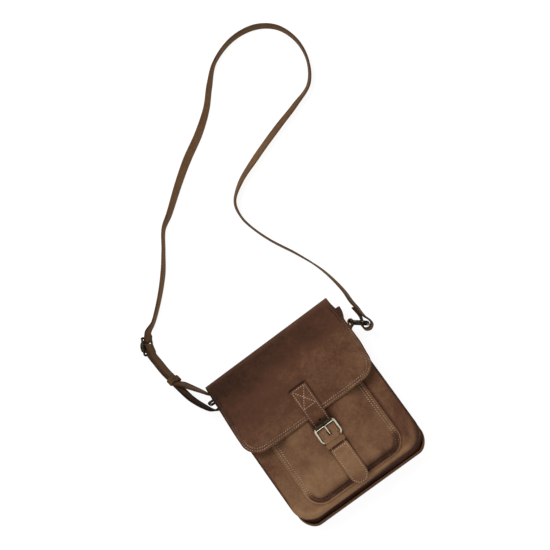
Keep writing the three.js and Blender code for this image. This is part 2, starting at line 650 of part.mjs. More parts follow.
// A flat strap along its stations, with one step to each stretch between two of them, or more
function strap(stations, steps) {
  const curve = new THREE.CatmullRomCurve3(stations.map((s) => s.place), false, 'centripetal');
  const last = stations.length - 1;
  const rows = [];
  for (let k = 0; k <= last; k++) {
    for (let m = 0; m < (k < last ? steps(k) : 1); m++) {
      const at = k + m / (k < last ? steps(k) : 1);
      const place = curve.getPoint(at / last);
      const along = curve.getTangent(at / last);
      const next = stations[Math.min(k + 1, last)].across;
      const across = stations[k].across.clone().lerp(next, at - k);
      across.addScaledVector(along, -across.dot(along)).normalize();
      const foot = place.z - (SHOULDER_WIDTH * across.z + SHOULDER_WALL * Math.sqrt(1 - across.z ** 2)) / 2;
      place.z += Math.max(0, FLOOR_GAP - foot);
      rows.push([-0.5, 0.5].map((side) => place.clone().addScaledVector(across, side * SHOULDER_WIDTH)));
    }
  }
  return leather([patch(rows)], SHOULDER_WALL, SHOULDER_WALL / 2);
}

function shoulderStrap() {
  const stations = [
    ...laid(LEFT_LOWER_STRAND),
    ...throughSlider(THREADED_STRAND),
    ...laid([...LONG_RUN, ...RIGHT_END]),
  ];
  return strap(stations, () => 2);
}

function strapReturn() {
  const upper = laid([...LEFT_UPPER_STRAND, DOUBLED[0]]).slice(0, -1);
  return strap([...upper, ...laid(DOUBLED, STRAND_STEP), ...throughSlider(SEWN_STRAND)], () => 2);
}

function strapSlider() {
  const half = (SLIDER_PLATE.length - 2 * SLIDER_PLATE.bar - SLIDER_PLATE.middle) / 2;
  const offset = (SLIDER_PLATE.middle + half) / 2;
  const windows = [-offset, offset].map((x) => ({
    x,
    y: 0,
    width: half,
    height: SLIDER_PLATE.width - 2 * SLIDER_PLATE.bar,
    radius: 1,
  }));
  const { length, width, corner, plate } = SLIDER_PLATE;
  return windowedPlate(length, width, corner, windows, plate, 0.6);
}

const bag = new THREE.Group();

function add(name, geometry, finish) {
  const mesh = new THREE.Mesh(geometry, new THREE.MeshStandardMaterial(finish));
  mesh.name = name;
  bag.add(mesh);
  return mesh;
}

add('back_panel', backPanel(), DARK_LEATHER);
add('front_panel', frontPanel(), BROWN_LEATHER);
add('gusset', gusset(), DARK_LEATHER);
add('flap', flap(), BROWN_LEATHER);
add('front_pocket', frontPocket(), BROWN_LEATHER);
add('closure_strap', closureStrap(), BROWN_LEATHER);
add('buckle_chape', buckleChape(), BROWN_LEATHER);
add('buckle_prong', buckleProng(), ANTIQUE_BRASS);

const frame = add('buckle_frame', buckleFrame(), ANTIQUE_BRASS);
frame.position.set(0, HEEL_Y, SEAT + HEEL_LIFT);
frame.rotation.x = BUCKLE_TILT;

const keeperLoop = bandLoop(2 * KEEPER.half, KEEPER.inside, KEEPER_WALL, KEEPER.band);
const keeper = add('closure_keeper', keeperLoop, BROWN_LEATHER);
keeper.position.set(0, KEEPER.y, SEAT + KEEPER.lift);
keeper.rotation.x = Math.PI / 2 + KEEPER.tilt;

for (const [name, ring] of [['left', RING_LEFT], ['right', RING_RIGHT]]) {
  const loop = add(`ring_${name}`, sideRing(), ANTIQUE_BRASS);
  loop.position.set(ring.x, ring.y, MID_DEPTH);
  loop.rotation.z = ring.turn;
  add(`ring_tab_${name}`, ringTab(ring), DARK_LEATHER);
}

add('shoulder_strap', shoulderStrap(), STRAP_LEATHER);
add('strap_return', strapReturn(), STRAP_LEATHER);

const slider = add('strap_slider', strapSlider(), ANTIQUE_BRASS);
slider.position.copy(sliderPlace);
slider.quaternion.setFromRotationMatrix(new THREE.Matrix4().makeBasis(sliderAlong, sliderAcross, sliderFace));

const strands = [laid(DOUBLED), laid(DOUBLED, STRAND_STEP)];
const loopPlace = strands[0][1].place.clone().lerp(strands[1][1].place, 0.5);
const loopAlong = strands[0][2].place.clone().sub(strands[0][0].place).normalize();
const loopFace = loopAlong.clone().cross(strands[0][1].across).normalize();
const loopAcross = loopFace.clone().cross(loopAlong);
const strapLoop = bandLoop(STRAP_LOOP.width, STRAP_LOOP.depth, STRAP_LOOP.wall, STRAP_LOOP.band);
const strapKeeper = add('strap_keeper', strapLoop, STRAP_LEATHER);
strapKeeper.position.copy(loopPlace);
strapKeeper.quaternion.setFromRotationMatrix(new THREE.Matrix4().makeBasis(loopAcross, loopFace, loopAlong));

export default bag;
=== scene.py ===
"""A leather crossbody bag that lies on its back, its strap thrown in a loose loop beside it."""

import bpy
import numpy as np
from bpy.props import FloatProperty, FloatVectorProperty, PointerProperty
from mathutils import Matrix, Vector


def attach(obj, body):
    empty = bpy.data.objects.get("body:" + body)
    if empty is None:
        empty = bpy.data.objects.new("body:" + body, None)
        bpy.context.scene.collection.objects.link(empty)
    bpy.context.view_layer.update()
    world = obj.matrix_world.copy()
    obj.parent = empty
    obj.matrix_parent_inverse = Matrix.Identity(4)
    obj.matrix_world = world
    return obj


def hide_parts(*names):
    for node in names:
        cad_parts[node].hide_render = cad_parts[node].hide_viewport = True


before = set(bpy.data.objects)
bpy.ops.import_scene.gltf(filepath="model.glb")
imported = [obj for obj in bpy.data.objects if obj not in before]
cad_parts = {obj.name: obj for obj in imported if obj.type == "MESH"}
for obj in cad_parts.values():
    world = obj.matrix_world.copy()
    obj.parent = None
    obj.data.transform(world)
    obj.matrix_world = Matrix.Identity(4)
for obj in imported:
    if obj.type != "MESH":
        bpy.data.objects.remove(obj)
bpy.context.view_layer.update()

bl_info = {
    "name": "Crossbody bag",
    "version": (1, 0, 0),
    "blender": (4, 5, 0),
    "location": "View3D > Sidebar > Bag",
    "description": "Dresses the packed solids of a leather crossbody bag in leather, thread and brass",
    "category": "Object",
}

# Places and sizes below are in millimetres, and meshes are written in metres.
MM = 0.001
GAP = 0.3
# Steps to both sides from which a slope is taken: on a surface, in a route's count of points and along a seam
SURFACE_STEP, ROUTE_STEP, SEAM_STEP = 0.1, 0.01, 0.4
# How far in from its sides a sheet's grid is close, the step there, and half the width of a sewn groove
EDGE_REACH, EDGE_STEP, GROOVE_HALF = 10.0, 0.6, 0.8
# Stitch: its rings along its length, how slim each is, the sides of a ring and how far the ends dip
STITCH_RINGS, STITCH_SLIM = (-0.5, -0.3, 0.3, 0.5), (0.45, 1.0, 1.0, 0.45)
STITCH_SIDES, STITCH_DIP = 6, 2.2

# Body
BODY_HALF = 100.0
BODY_BOTTOM = -116.5
FRONT_CORNER, BACK_CORNER = 28.0, 20.0
BACK_TOP = 113.0
BACK_SPLAY = 4.3
FRONT_TOP = 98.0
# Height of the front, and what it loses towards its top, at its sides and near its bottom edge
FRONT_FACE, FRONT_TAPER, FRONT_SIDE_FALL = 54.0, 3.0, 1.5
FRONT_LOW_FALL, FRONT_LOW_REACH = 3.0, 20.0
PANEL_WALL, GUSSET_WALL = 2.0, 1.8
PANEL_ROLL = 6.0
# How far the skirts go on from the roll: at the sides, more at the bottom and more at the corners
FRONT_SKIRT = (2.5, 4.5, 5.0)
BACK_SKIRT = (2.5, 11.0, 4.0)
GUSSET_INSET = 2.3
GUSSET_TOP = 99.0
GUSSET_TUCK = PANEL_ROLL - 0.1
MID_DEPTH = 27.0
# How far each side of the gusset bows out, from where to where up the bag, between which heights and over what ramp
RIGHT_BOW = (11.0, 67.0, 99.0, 11.0, 38.5, 5.0)
LEFT_BOW = (-18.0, 22.0, 52.0, 9.5, 43.5, 4.0)
# How deep the bottom is drawn in at its left and its right, between which heights and over what ramp
BOTTOM_RECESS = (7.0, 2.5, 17.0, 42.0, 8.0)
# How deep the gusset's soft creases are, between which heights, over what ramp and how wide
GUSSET_CREASE = (0.5, 12.0, 38.0, 8.0, 37.0)
# Steps along a side, a corner and the bottom, then rows of a roll, of a skirt and through the gusset
PANEL_STEPS, GUSSET_STEPS = (70, 18, 100), (90, 14, 110)
ROLL_ROWS, SKIRT_ROWS, GUSSET_ROWS = 10, 4, 44

# Flap: its middle surface from the root inside the back, over the fold and down the front
FLAP_PROFILE = np.array([
    (0, 101, 3.5), (0, 109, 3.9), (0, 114.6, 8), (0, 117, 17), (0, 117.2, 28), (0, 114.8, 39), (0, 108, 48.4),
    (0, 97, 53.5), (0, 78, 55.6), (0, 52, 59.2), (0, 30, 63.6), (0, 12, 66.6), (0, -8, 67.3),
], float)
# Row of the profile where it comes over the fold, and its last row
FLAP_FOLD, FLAP_LAST = 4.0, len(FLAP_PROFILE) - 1.0
FLAP_WALL = 2.2
FLAP_EDGE = -8.0
FLAP_CORNER = 25.0
# Half width at the sewn root and at the fold, and what it gains below the fold: left, right and right at the edge
FLAP_ROOT_HALF, FLAP_FOLD_HALF = 92.0, 100.5
FLAP_WIDENING = (3.2, 2.8, 0.6)
FLAP_SKEW, FLAP_CORNER_LIFT, FLAP_DROOP = 1.4, 1.8, 5.0
FLAP_STITCH_ROWS = (2.3, 6.0)

# Pocket
POCKET_HALF = 74.0
POCKET_BOTTOM = -109.5
POCKET_MOUTH = 15.0
POCKET_CORNER = 23.0
POCKET_WALL = 1.8
POCKET_MARGIN = 7.5
# How far the middle bulges, and how far in from the sides and from the bottom the bulge is full
POCKET_BULGE, POCKET_SIDE_RAMP, POCKET_LOW_RAMP = 11.0, 24.0, 9.0
# The power that steepens the bulge at the bottom, and the share of it that the mouth loses
POCKET_LOW_POWER, POCKET_MOUTH_FALL = 2.2, 0.25
POCKET_STITCH_ROWS = (3.5, 7.2)

# Closure strap: places on the flap, then free places as height over the pocket at the heel bar
STRAP_HALF = 12.5
STRAP_WALL = 2.0
STRAP_ON_FLAP = (37.0, 24.0, 12.0, 0.0, -6.0)
STRAP_FREE = np.array([
    (-14, 3.0), (-21.5, 2.4), (-29, 2.45), (-35, 4.0), (-40.5, 7.0), (-46.6, 8.4), (-51.7, 7.5), (-57, 6.5),
    (-64, 4.6), (-70, 2.7), (-77, 2.0), (-97, 1.8), (-105, -0.4), (-111, -3.8), (-115, -6.5),
])
# Length of the tip, the power that rounds it and the half width that is left at its end
STRAP_TIP, STRAP_TIP_POWER, STRAP_TIP_HALF = 13.0, 2.4, 2.0
STRAP_OFF_FLAP = 0.45
STRAP_COLUMNS, STRAP_STEP = 33, 0.8
# The spare hole and the prong's slot: lower end, upper end and half width
STRAP_HOLES = ((-18.7, -14.7, 2.0), (-42.4, -33.2, 2.3))
# How near to a hole's outline a grid point is moved on to it, and how near to its middle it is left alone
HOLE_SNAP, HOLE_CORE = 0.5, 0.3
STRAP_STITCH_ROW = 2.4
# From where to where along the strap its edge is sewn, and the two ends of each straight row across it
STRAP_SEWN = (34.5, -113.2)
STRAP_BOX = [
    ((-9.6, 34.5), (9.6, 34.5)), ((-9.6, 6.0), (9.6, 6.0)), ((-9.0, 6.5), (9.0, 34.0)), ((9.0, 6.5), (-9.0, 34.0)),
    ((-9.4, -61.5), (9.4, -61.5)),
]

# Buckle
HEEL_Y, HEEL_LIFT = -46.6, 3.6
BUCKLE_WIDTH, BUCKLE_REACH = 32.5, 21.5
BUCKLE_SIDE, BUCKLE_HEEL, BUCKLE_FRONT, BUCKLE_PLATE = 2.8, 2.4, 5.5, 2.5
BUCKLE_RISE, BUCKLE_CORNER = 1.7, 4.6
PRONG_ROUTE = np.array([
    (-44.1, 3.7), (-41, 4.0), (-37.5, 5.3), (-34, 6.4), (-30, 7.4), (-26.5, 8.15), (-23, 8.2),
])
# The prong's radius, the row of its route where its tip starts and the rows that the tip is long
PRONG_RADIUS, PRONG_TIP, PRONG_TIP_LENGTH = 1.1, 5.3, 0.72
PRONG_EYE, PRONG_EYE_CORNER, PRONG_EYE_WALL, PRONG_EYE_WIDTH = 4.45, 2.2, 0.92, 4.0
# The chape's half width, half of the gap in it for the prong, and the radius and ends of its fold
CHAPE_WALL, CHAPE_HALF, CHAPE_GAP_HALF, CHAPE_LOOP = 1.4, 12.0, 2.7, 2.6
CHAPE_ENDS = (-62.5, -61.0)
# How far its ends stand off the pocket, where each side of it leaves the fold, and how far the gap goes back
CHAPE_LIFT, CHAPE_UNDER, CHAPE_OVER, CHAPE_GAP_BACK = 0.4, (8.0, 0.15), (9.0, 0.9), 5.0
# Keepers: wall, width of the band, and the size and corner of the loop inside the wall
KEEPER_Y, KEEPER_LIFT, KEEPER_TILT = -53.3, 6.35, np.pi / 18
CLOSURE_KEEPER = (1.2, 6.2, 25.8, 5.1, 1.3)
STRAP_KEEPER = (1.5, 9.0, 16.2, 6.4, 1.5)
# Powers that square off the section of a leather band, a cast bar and a bent wire
SQUARE_BAND, SQUARE_CAST, SQUARE_WIRE = 0.35, 0.7, 0.9

# Rings and the tabs that hold them: side, inner bar's place, way to the outer bar, bow and the tab's foot
RING_REACH, RING_OPENING, RING_WIRE, RING_CORNER = 23.1, 16.5, 3.6, 3.2
RINGS = {
    "left": (-1.0, (-85.6, 94.2), (-23.0, 1.0), LEFT_BOW, 62.0),
    "right": (1.0, (108.4, 73.0), (17.2, -14.0), RIGHT_BOW, 48.0),
}
TAB_WIDTH, TAB_WALL, TAB_SEWN, TAB_NECK, TAB_LOOP, TAB_WRAP = 15.0, 1.6, 14.0, 6.0, 3.5, 1.92
TAB_COLUMNS, TAB_STEP = 12, 1.0

# Shoulder strap rows: plan place, rise of its lower edge over the floor and lean of its face in degrees
SHOULDER_WIDTH, SHOULDER_WALL, SHOULDER_CORNER, FLOOR_GAP, STRAND_STEP = 15.0, 2.4, 0.8, 0.2, 2.9
# How far out across the strap its darker rim starts
SHOULDER_RIM = 6.2
DOUBLED = [(-131.2, 147.4, 6.4, 57), (-132, 153.5, 5.5, 57), (-135, 170, 3.2, 56), (-136.2, 186, 2.6, 56)]
LEFT_LOWER = [
    (-96.2, 88.4, 19.5, 90), (-99.3, 84.2, 19.5, 90), (-105, 83, 19.4, 86), (-111, 87.2, 18.8, 74),
    (-117.2, 98, 17, 65), (-125, 117, 12.8, 60), (-128.8, 134, 8.8, 58),
] + DOUBLED
LEFT_UPPER = [
    (-95.8, 89.9, 19.5, 90), (-95.3, 94.5, 19.5, 90), (-97.4, 100, 19.5, 88), (-102.8, 107, 19, 82),
    (-108.6, 117, 16.6, 72), (-117.6, 131.6, 12, 62), (-123.4, 141, 8.8, 58),
]
LONG_RUN = [
    (-120.6, 230.6, 3.6, 76), (-109.8, 236.8, 1, 88), (-82.6, 260.9, 0, 84), (-58.9, 286.6, 0, 80),
    (-41, 311.5, 0, 86), (-23.3, 336.6, 0, 86), (-5.8, 348.8, 0, 76), (28.9, 376.2, 0, 66),
    (57.6, 396.8, 0, 60), (92.6, 418.1, 0, 62), (121.4, 440.8, 0, 71), (143.3, 464.9, 0, 74),
    (168.7, 488.3, 0, 90), (207.6, 500.7, 0, 86), (242.8, 495.3, 0, 82), (267, 476.1, 0, 82),
    (277.8, 445.1, 0, 82), (273.7, 411.8, 0, 80), (254.8, 382.8, 0, 66), (222.6, 370.2, 0, 52),
    (183.8, 358.5, 0, 45), (134.1, 341.2, 0, 46), (98.9, 325.9, 0, 58), (77.3, 307.5, 0, 75),
    (72.5, 285.3, 0, 86), (76.1, 263.4, 0, 91), (86.5, 233.7, 0.2, 92), (104.1, 197.3, 1.6, 93),
    (119, 157.6, 6.5, 98), (125.6, 117.1, 14, 103),
]
RIGHT_END = [
    (125.4, 95.5, 17.6, 107), (126.4, 85, 18.6, 106), (126.8, 75, 19.2, 102), (128, 68, 19.5, 98),
    (130.5, 61.2, 19.5, 96), (130.2, 55, 19.5, 96), (124.8, 51.6, 19.5, 96), (119, 54, 19.5, 92),
    (118, 59.4, 19.5, 86), (121.2, 65, 19.5, 85), (123.2, 71.5, 19.5, 82), (123.5, 79, 19.2, 76),
    (122.9, 87, 18.8, 74),
]
SLIDER_PLACE, SLIDER_RISE, SLIDER_LEAN = (-134.0, 213.6), 0.4, 57.0
SLIDER_AIM = np.arctan2(0.91, 0.42)
SLIDER_LENGTH, SLIDER_WIDTH, SLIDER_CORNER = 27.0, 21.6, 1.6
SLIDER_BAR, SLIDER_MIDDLE, SLIDER_PLATE = 3.0, 2.6, 2.4
# Strands in the slider: distance along it and off its face
THREADED = [
    (-12, 3), (-9.6, 2.7), (-7.6, 0.9), (-6.9, -2), (-5, -5), (0, -6.2), (5.2, -5), (7.2, -2), (7.6, 0.9),
    (9.6, 2.8), (12, 3.3), (14.8, 4.5),
]
SEWN = [(-12, 6), (-7, 5.6), (-2.5, 4.1), (1.7, 2.9), (3.3, 0), (1.7, -2.8), (-1.2, -3)]

# Camera: place and axes, from the photograph's perspective
CAMERA_PLACE = (63.307, -522.419, 2966.277)
CAMERA_RIGHT = (0.8100329, -0.5700198, -0.1375648)
CAMERA_UP = (0.5863844, 0.7874268, 0.1900324)
CAMERA_BACK = (0.0, -0.2345984, 0.9720924)
CAMERA_LENS, CAMERA_SENSOR, CAMERA_FAR = 146.735, 36.0, 50.0

# Stage, in metres: the floor's half size and level, and each lamp's name, place, aim, width and power
FLOOR_HALF, FLOOR_LEVEL = 6.0, -0.0004
LAMPS = (
    ("Key", (-0.35, 1.25, 1.9), (0.05, 0.1, 0.0), 1.5, 34.0),
    ("Fill", (0.35, -1.9, 1.5), (0.05, 0.0, 0.0), 1.8, 17.0),
)
SKY_STRENGTH = 0.5

# Material and slot of each look
MATERIALS = {
    "brown": ("Oiled pull-up cowhide", "brown_leather"),
    "dark": ("Dark oiled cowhide", "dark_leather"),
    "shoulder": ("Waxed strap butt", "strap_leather"),
    "thread": ("Waxed linen thread", "brown_leather"),
    "brass": ("Antiqued brass", "antique_brass"),
    "paper": ("Matt paper", None),
}
# Widths of the patterns that no property holds, in metres
CREASE_SIZE, WEAR_SIZE, TWIST_SIZE, SPOT_SIZE, FIBRE_SIZE = 0.0048, 0.013, 0.0025, 0.0032, 0.006

# Painted shadows: middle x and y, reach in x and y, and what each adds to the tone
# Painted shadow that the flap's left corner casts on the front
FRONT_SHADOWS = [(-90.0, -24.0, 13.0, 20.0, -0.35)]
# Painted shadow that the flap's lower edge casts on the pocket, right of the closure strap
POCKET_SHADOWS = [(24.0, -10.0, 11.0, 9.0, -0.3)]
# Painted shade on the closure strap under the buckle's front bar, round the prong's slot and below the keeper
CLOSURE_SHADES = [(0.0, -19.5, np.inf, 5.0, -1.0), (0.0, -39.0, 2.8, 4.0, -0.9), (0.0, -58.0, np.inf, 1.4, -1.2)]


def linear(code):
    """An sRGB hex colour as linear red, green and blue.

    A part up to 0.04045 is divided by 12.92; above that it is raised by 0.055, divided by 1.055 and put to the
    power 2.4.
    """
    part = np.array([int(code[k:k + 2], 16) for k in (1, 3, 5)]) / 255.0
    return tuple(float(c) for c in np.where(part <= 0.04045, part / 12.92, ((part + 0.055) / 1.055) ** 2.4))


def colour(name, description, code):
    """A colour property whose default is an sRGB hex colour."""
    return FloatVectorProperty(name=name, description=description, subtype="COLOR", size=3, min=0.0, max=1.0,
                               default=linear(code))


def length(name, description, millimetres):
    """A length property whose default is given in millimetres."""
    return FloatProperty(name=name, description=description, default=millimetres * MM, min=1e-5, soft_max=0.2,
                         unit="LENGTH", subtype="DISTANCE", precision=5)


class BagSizes(bpy.types.PropertyGroup):
    """Sizes of the leather work that leave the solids where they are."""
    stitch_pitch: length("Stitch pitch", "Distance from one stitch to the next", 3.4)
    stitch_length: length("Stitch length", "Length of thread that shows in one stitch", 2.4)
    thread_width: length("Thread width", "Thickness of the sewing thread", 1.1)
    groove_depth: length("Groove depth", "How far a row of stitches pulls the leather in", 0.35)
    edge_round: length("Cut edge", "How far a cut edge swells out", 0.25)
    cloud_size: length("Cloud size", "Width of the cloudy patches in the oiled leather", 46.0)
    scuff_size: length("Scuff size", "Width of the small scuffs and stains", 11.0)
    grain_size: length("Grain size", "Width of a pebble of the leather's grain", 1.9)


class BagColours(bpy.types.PropertyGroup):
    """Colours of the leather, thread, metal and floor."""
    # The deep colour also paints shade, where the tone falls towards -1
    deep_leather_and_shade: colour("Leather, deep", "Oiled leather where the oil lies thick", "#231711")
    leather_body: colour("Leather, body", "Oiled leather over most of the bag", "#533628")
    # The pulled colour also paints highlights, where the tone rises towards 1
    pulled_leather_and_highlight: colour("Leather, pulled", "Oiled leather where it is stretched and pales", "#87674B")
    cut_edge: colour("Cut edge", "Raw cut edge of the leather", "#735236")
    flesh_side: colour("Flesh side", "Rough inner face of the leather", "#5C4029")
    gusset: colour("Gusset", "Dark leather of the gusset and tabs", "#2B1610")
    shoulder: colour("Shoulder strap", "Leather of the shoulder strap", "#634932")
    thread: colour("Thread", "Waxed sewing thread", "#BE9F82")
    brass: colour("Brass", "Rubbed brass", "#F3EAD0")
    patina: colour("Patina", "Darkened brass", "#2E2A20")
    floor: colour("Floor", "Matt paper floor", "#FBFBFB")


def ease(t):
    """Smooth step: 0 below 0, 1 above 1 and 3t² - 2t³ between."""
    t = np.clip(t, 0.0, 1.0)
    return t * t * (3.0 - 2.0 * t)


def above(value, start, span):
    """Smooth step up: 0 as far as `start`, then eased to 1 over `span`."""
    return ease((value - start) / span)


def below(value, end, span):
    """Smooth step down: eased from 1 to 0 over the `span` before `end`."""
    return ease((end - value) / span)


def between(value, start, end, span):
    """Smooth step up from `start` and down to `end`, over `span` at each: the way in from the nearer one, eased."""
    return ease(np.minimum(value - start, end - value) / span)


def bell(t):
    """Bell curve: 1 at 0, falling to both sides as the exponential of -t²."""
    return np.exp(-t ** 2)


def painted_shadows(x, y, rows):
    """What a list of painted shadows adds to the tone: for each its share times a bell across and a bell up the bag."""
    return sum(share * bell((x - at_x) / wide) * bell((y - at_y) / high) for at_x, at_y, wide, high, share in rows)


def unit(v):
    """Vectors in the last axis, each divided by its length."""
    return v / np.maximum(np.linalg.norm(v, axis=-1, keepdims=True), 1e-12)


def distances(points):
    """Distance along a line of points from the first to each: the running sum of its steps."""
    return np.concatenate([[0], np.cumsum(np.linalg.norm(np.diff(points, axis=0), axis=1))])


def read_off(at, known, rows):
    """Rows that are given at known places, read off at others along straight lines, column by column."""
    return np.stack([np.interp(at, known, column) for column in rows.T], 1)


def smooth_route(points, at):
    """Places on a centripetal Catmull-Rom curve through points.

    Each stretch is the cubic through its two points whose end slopes come from the points around it, weighted by
    the square roots of their distances; `at` counts points, so 1.5 is midway from the second to the third.
    """
    points = np.asarray(points, float)
    around = np.vstack([2 * points[0] - points[1], points, 2 * points[-1] - points[-2]])
    i = np.clip(np.floor(at).astype(int), 0, len(points) - 2)
    w = (at - i)[:, None]
    a, b, c, d = around[i], around[i + 1], around[i + 2], around[i + 3]
    t0, t1, t2 = (np.sqrt(np.linalg.norm(q - p, axis=1))[:, None] for p, q in ((a, b), (b, c), (c, d)))
    start = ((b - a) / t0 - (c - a) / (t0 + t1) + (c - b) / t1) * t1
    end = ((c - b) / t1 - (d - b) / (t1 + t2) + (d - c) / t2) * t1
    return b + w * start + w * w * (3 * (c - b) - 2 * start - end) + w ** 3 * (2 * (b - c) + start + end)


def even_steps(points, step, close=40):
    """Curve parameters of smooth_route about one step apart, read off distances at `close` places a stretch."""
    dense = np.linspace(0, len(points) - 1, close * (len(points) - 1) + 1)
    far = distances(smooth_route(points, dense))
    return np.interp(np.linspace(0, far[-1], max(int(far[-1] / step), 2) + 1), far, dense)


def wavering(x, y, size, turn):
    """A slow waver from -1 to 1: the mean of four sines across the plan, each turned and of another length."""
    angle = turn + np.array([0.3, 1.5, 2.6, 4.1])
    reach = size * np.array([1.0, 0.73, 1.37, 0.58])
    waves = [np.sin((x * np.cos(a) + y * np.sin(a)) * 2 * np.pi / r + 3 * a) for a, r in zip(angle, reach)]
    return sum(waves) / 4.0


def grid_faces(rows, columns, close_rows=False, close_columns=False):
    """Faces of a grid whose vertices run along columns first; a closed way joins its last line to its first."""
    i = np.arange(rows if close_rows else rows - 1)[:, None]
    j = np.arange(columns if close_columns else columns - 1)[None, :]
    i2, j2 = (i + 1) % rows, (j + 1) % columns
    return np.stack([i * columns + j, i * columns + j2, i2 * columns + j2, i2 * columns + j], -1).reshape(-1, 4)


def vertex_normals(places, faces):
    """Normal at each vertex: the sum of the cross products of its faces' diagonals, made one long."""
    a, b, c, d = (places[faces[:, k]] for k in range(4))
    across = np.cross(c - a, d - b)
    total = np.zeros_like(places)
    for k in range(4):
        np.add.at(total, faces[:, k], across)
    return unit(total)


def leather_wall(outer, faces, wall, swell):
    """A closed leather wall below an open surface.

    The inner face lies one wall below the outer one along its normals. Each open edge is closed by three rows on a
    half ellipse that stands out by `swell`. Returns places, faces, the side of each vertex (0 grain side, 0.5 cut
    edge, 1 flesh side) and the outer vertex that it stands over.
    """
    normal = vertex_normals(outer, faces)
    edges = np.concatenate([faces[:, [k, (k + 1) % 4]] for k in range(4)])
    code = edges.min(1).astype(np.int64) * len(outer) + edges.max(1)
    _, first, count = np.unique(code, return_index=True, return_counts=True)
    rim = edges[first[count == 1]]
    step = np.cross(outer[rim[:, 1]] - outer[rim[:, 0]], normal[rim[:, 0]] + normal[rim[:, 1]])
    out = np.zeros_like(outer)
    np.add.at(out, rim[:, 0], step)
    np.add.at(out, rim[:, 1], step)
    on_rim = np.unique(rim)
    place_on_rim = np.zeros(len(outer), int)
    place_on_rim[on_rim] = np.arange(len(on_rim))
    middle, up, way = outer[on_rim] - normal[on_rim] * wall / 2, normal[on_rim], unit(out[on_rim])
    turn = np.array([0.25, 0.5, 0.75]) * np.pi
    rings = [middle + up * wall / 2 * np.cos(t) + way * swell * np.sin(t) for t in turn]
    places = np.vstack([outer, *rings, outer - normal * wall])
    base = len(outer) + np.arange(3) * len(on_rim)
    inner = len(outer) + 3 * len(on_rim)
    levels = [rim] + [b + place_on_rim[rim] for b in base] + [inner + rim]
    closing = [np.stack([p[:, 1], p[:, 0], q[:, 0], q[:, 1]], 1) for p, q in zip(levels[:-1], levels[1:])]
    every = np.vstack([faces, *closing, inner + faces[:, ::-1]])
    side = np.concatenate([np.zeros(len(outer)), np.full(3 * len(on_rim), 0.5), np.ones(len(outer))])
    source = np.concatenate([np.arange(len(outer)), on_rim, on_rim, on_rim, np.arange(len(outer))])
    return places, every, side, source


def carried(section, centre, across, face, closed=False):
    """A section carried along a path: place = centre + a·across + f·face for each point (a, f) of the section.

    The section turns from across towards face. An open sweep ends in flat caps; a closed one joins up.
    """
    section = np.broadcast_to(section, (len(centre),) + section.shape[-2:])
    places = (centre[:, None] + section[..., :1] * across[:, None] + section[..., 1:] * face[:, None])
    rows, columns = places.shape[:2]
    faces = [grid_faces(rows, columns, closed, True)]
    if not closed:
        end = np.arange(columns)
        faces.append(np.stack([end[::-1], (rows - 1) * columns + end]))
    return places.reshape(-1, 3), faces


def flat_section(width, wall, corner, bars=7, arc=4):
    """A flat strap's section: a rectangle with rounded corners, counter-clockwise, as rows across and off its face."""
    turn = np.linspace(0, np.pi / 2, arc)
    centres = np.array([(1, 1), (-1, 1), (-1, -1), (1, -1)]) * (width / 2 - corner, wall / 2 - corner)
    arcs = [c + corner * np.stack([np.cos(turn + k * np.pi / 2), np.sin(turn + k * np.pi / 2)], 1)
            for k, c in enumerate(centres)]
    between = np.linspace(0, 1, bars)[1:-1, None]
    top, under = (arcs[k][-1] * (1 - between) + arcs[k + 1][0] * between for k in (0, 2))
    return np.vstack([arcs[0], top, arcs[1], arcs[2], under, arcs[3]])


def round_section(radius, sides=14, square=1.0):
    """A bar's section: an ellipse of half sizes `radius` whose sines and cosines are raised to `square`."""
    turn = np.linspace(0, 2 * np.pi, sides, endpoint=False)
    bent = [np.sign(w) * np.abs(w) ** square for w in (np.cos(turn), np.sin(turn))]
    return np.stack(bent, -1) * np.asarray(radius, float)[..., None, :]


def rounded_loop(width, height, corner, arc=8, bars=8):
    """A closed rounded rectangle, counter-clockwise, as rows of place (u, v) and outward normal (nu, nv)."""
    turn = np.linspace(0, np.pi / 2, arc)
    signs = np.array([(1, 1), (-1, 1), (-1, -1), (1, -1)])
    arcs = []
    for k, sign in enumerate(signs):
        way = np.stack([np.cos(turn + k * np.pi / 2), np.sin(turn + k * np.pi / 2)], 1)
        arcs.append(np.hstack([sign * (width / 2 - corner, height / 2 - corner) + corner * way, way]))
    between = np.linspace(0, 1, bars)[1:-1, None]
    runs = [arcs[k][-1] * (1 - between) + arcs[(k + 1) % 4][0] * between for k in range(4)]
    return np.vstack([part for pair in zip(arcs, runs) for part in pair])


def bar_loop(loop, origin, u, v, half_wide, half_thick, square=1.0, sides=14):
    """A bar bent into a closed loop: a section half_wide along the loop's normal and half_thick along its axis."""
    u, v = np.asarray(u, float), np.asarray(v, float)
    axis = np.cross(u, v)
    centre = np.asarray(origin, float) + loop[:, :1] * u + loop[:, 1:2] * v
    normal = loop[:, 2:3] * u + loop[:, 3:4] * v
    radius = np.stack([np.broadcast_to(half_wide, len(loop)), np.broadcast_to(half_thick, len(loop))], -1)
    return carried(round_section(radius, sides, square), centre, normal, np.tile(-axis, (len(loop), 1)), True)


def joined(*shapes):
    """Several shapes as one: their places stacked and their faces counted on."""
    starts = np.cumsum([0] + [len(places) for places, _ in shapes[:-1]])
    faces = [some + start for (_, every), start in zip(shapes, starts) for some in every]
    return np.vstack([places for places, _ in shapes]), faces


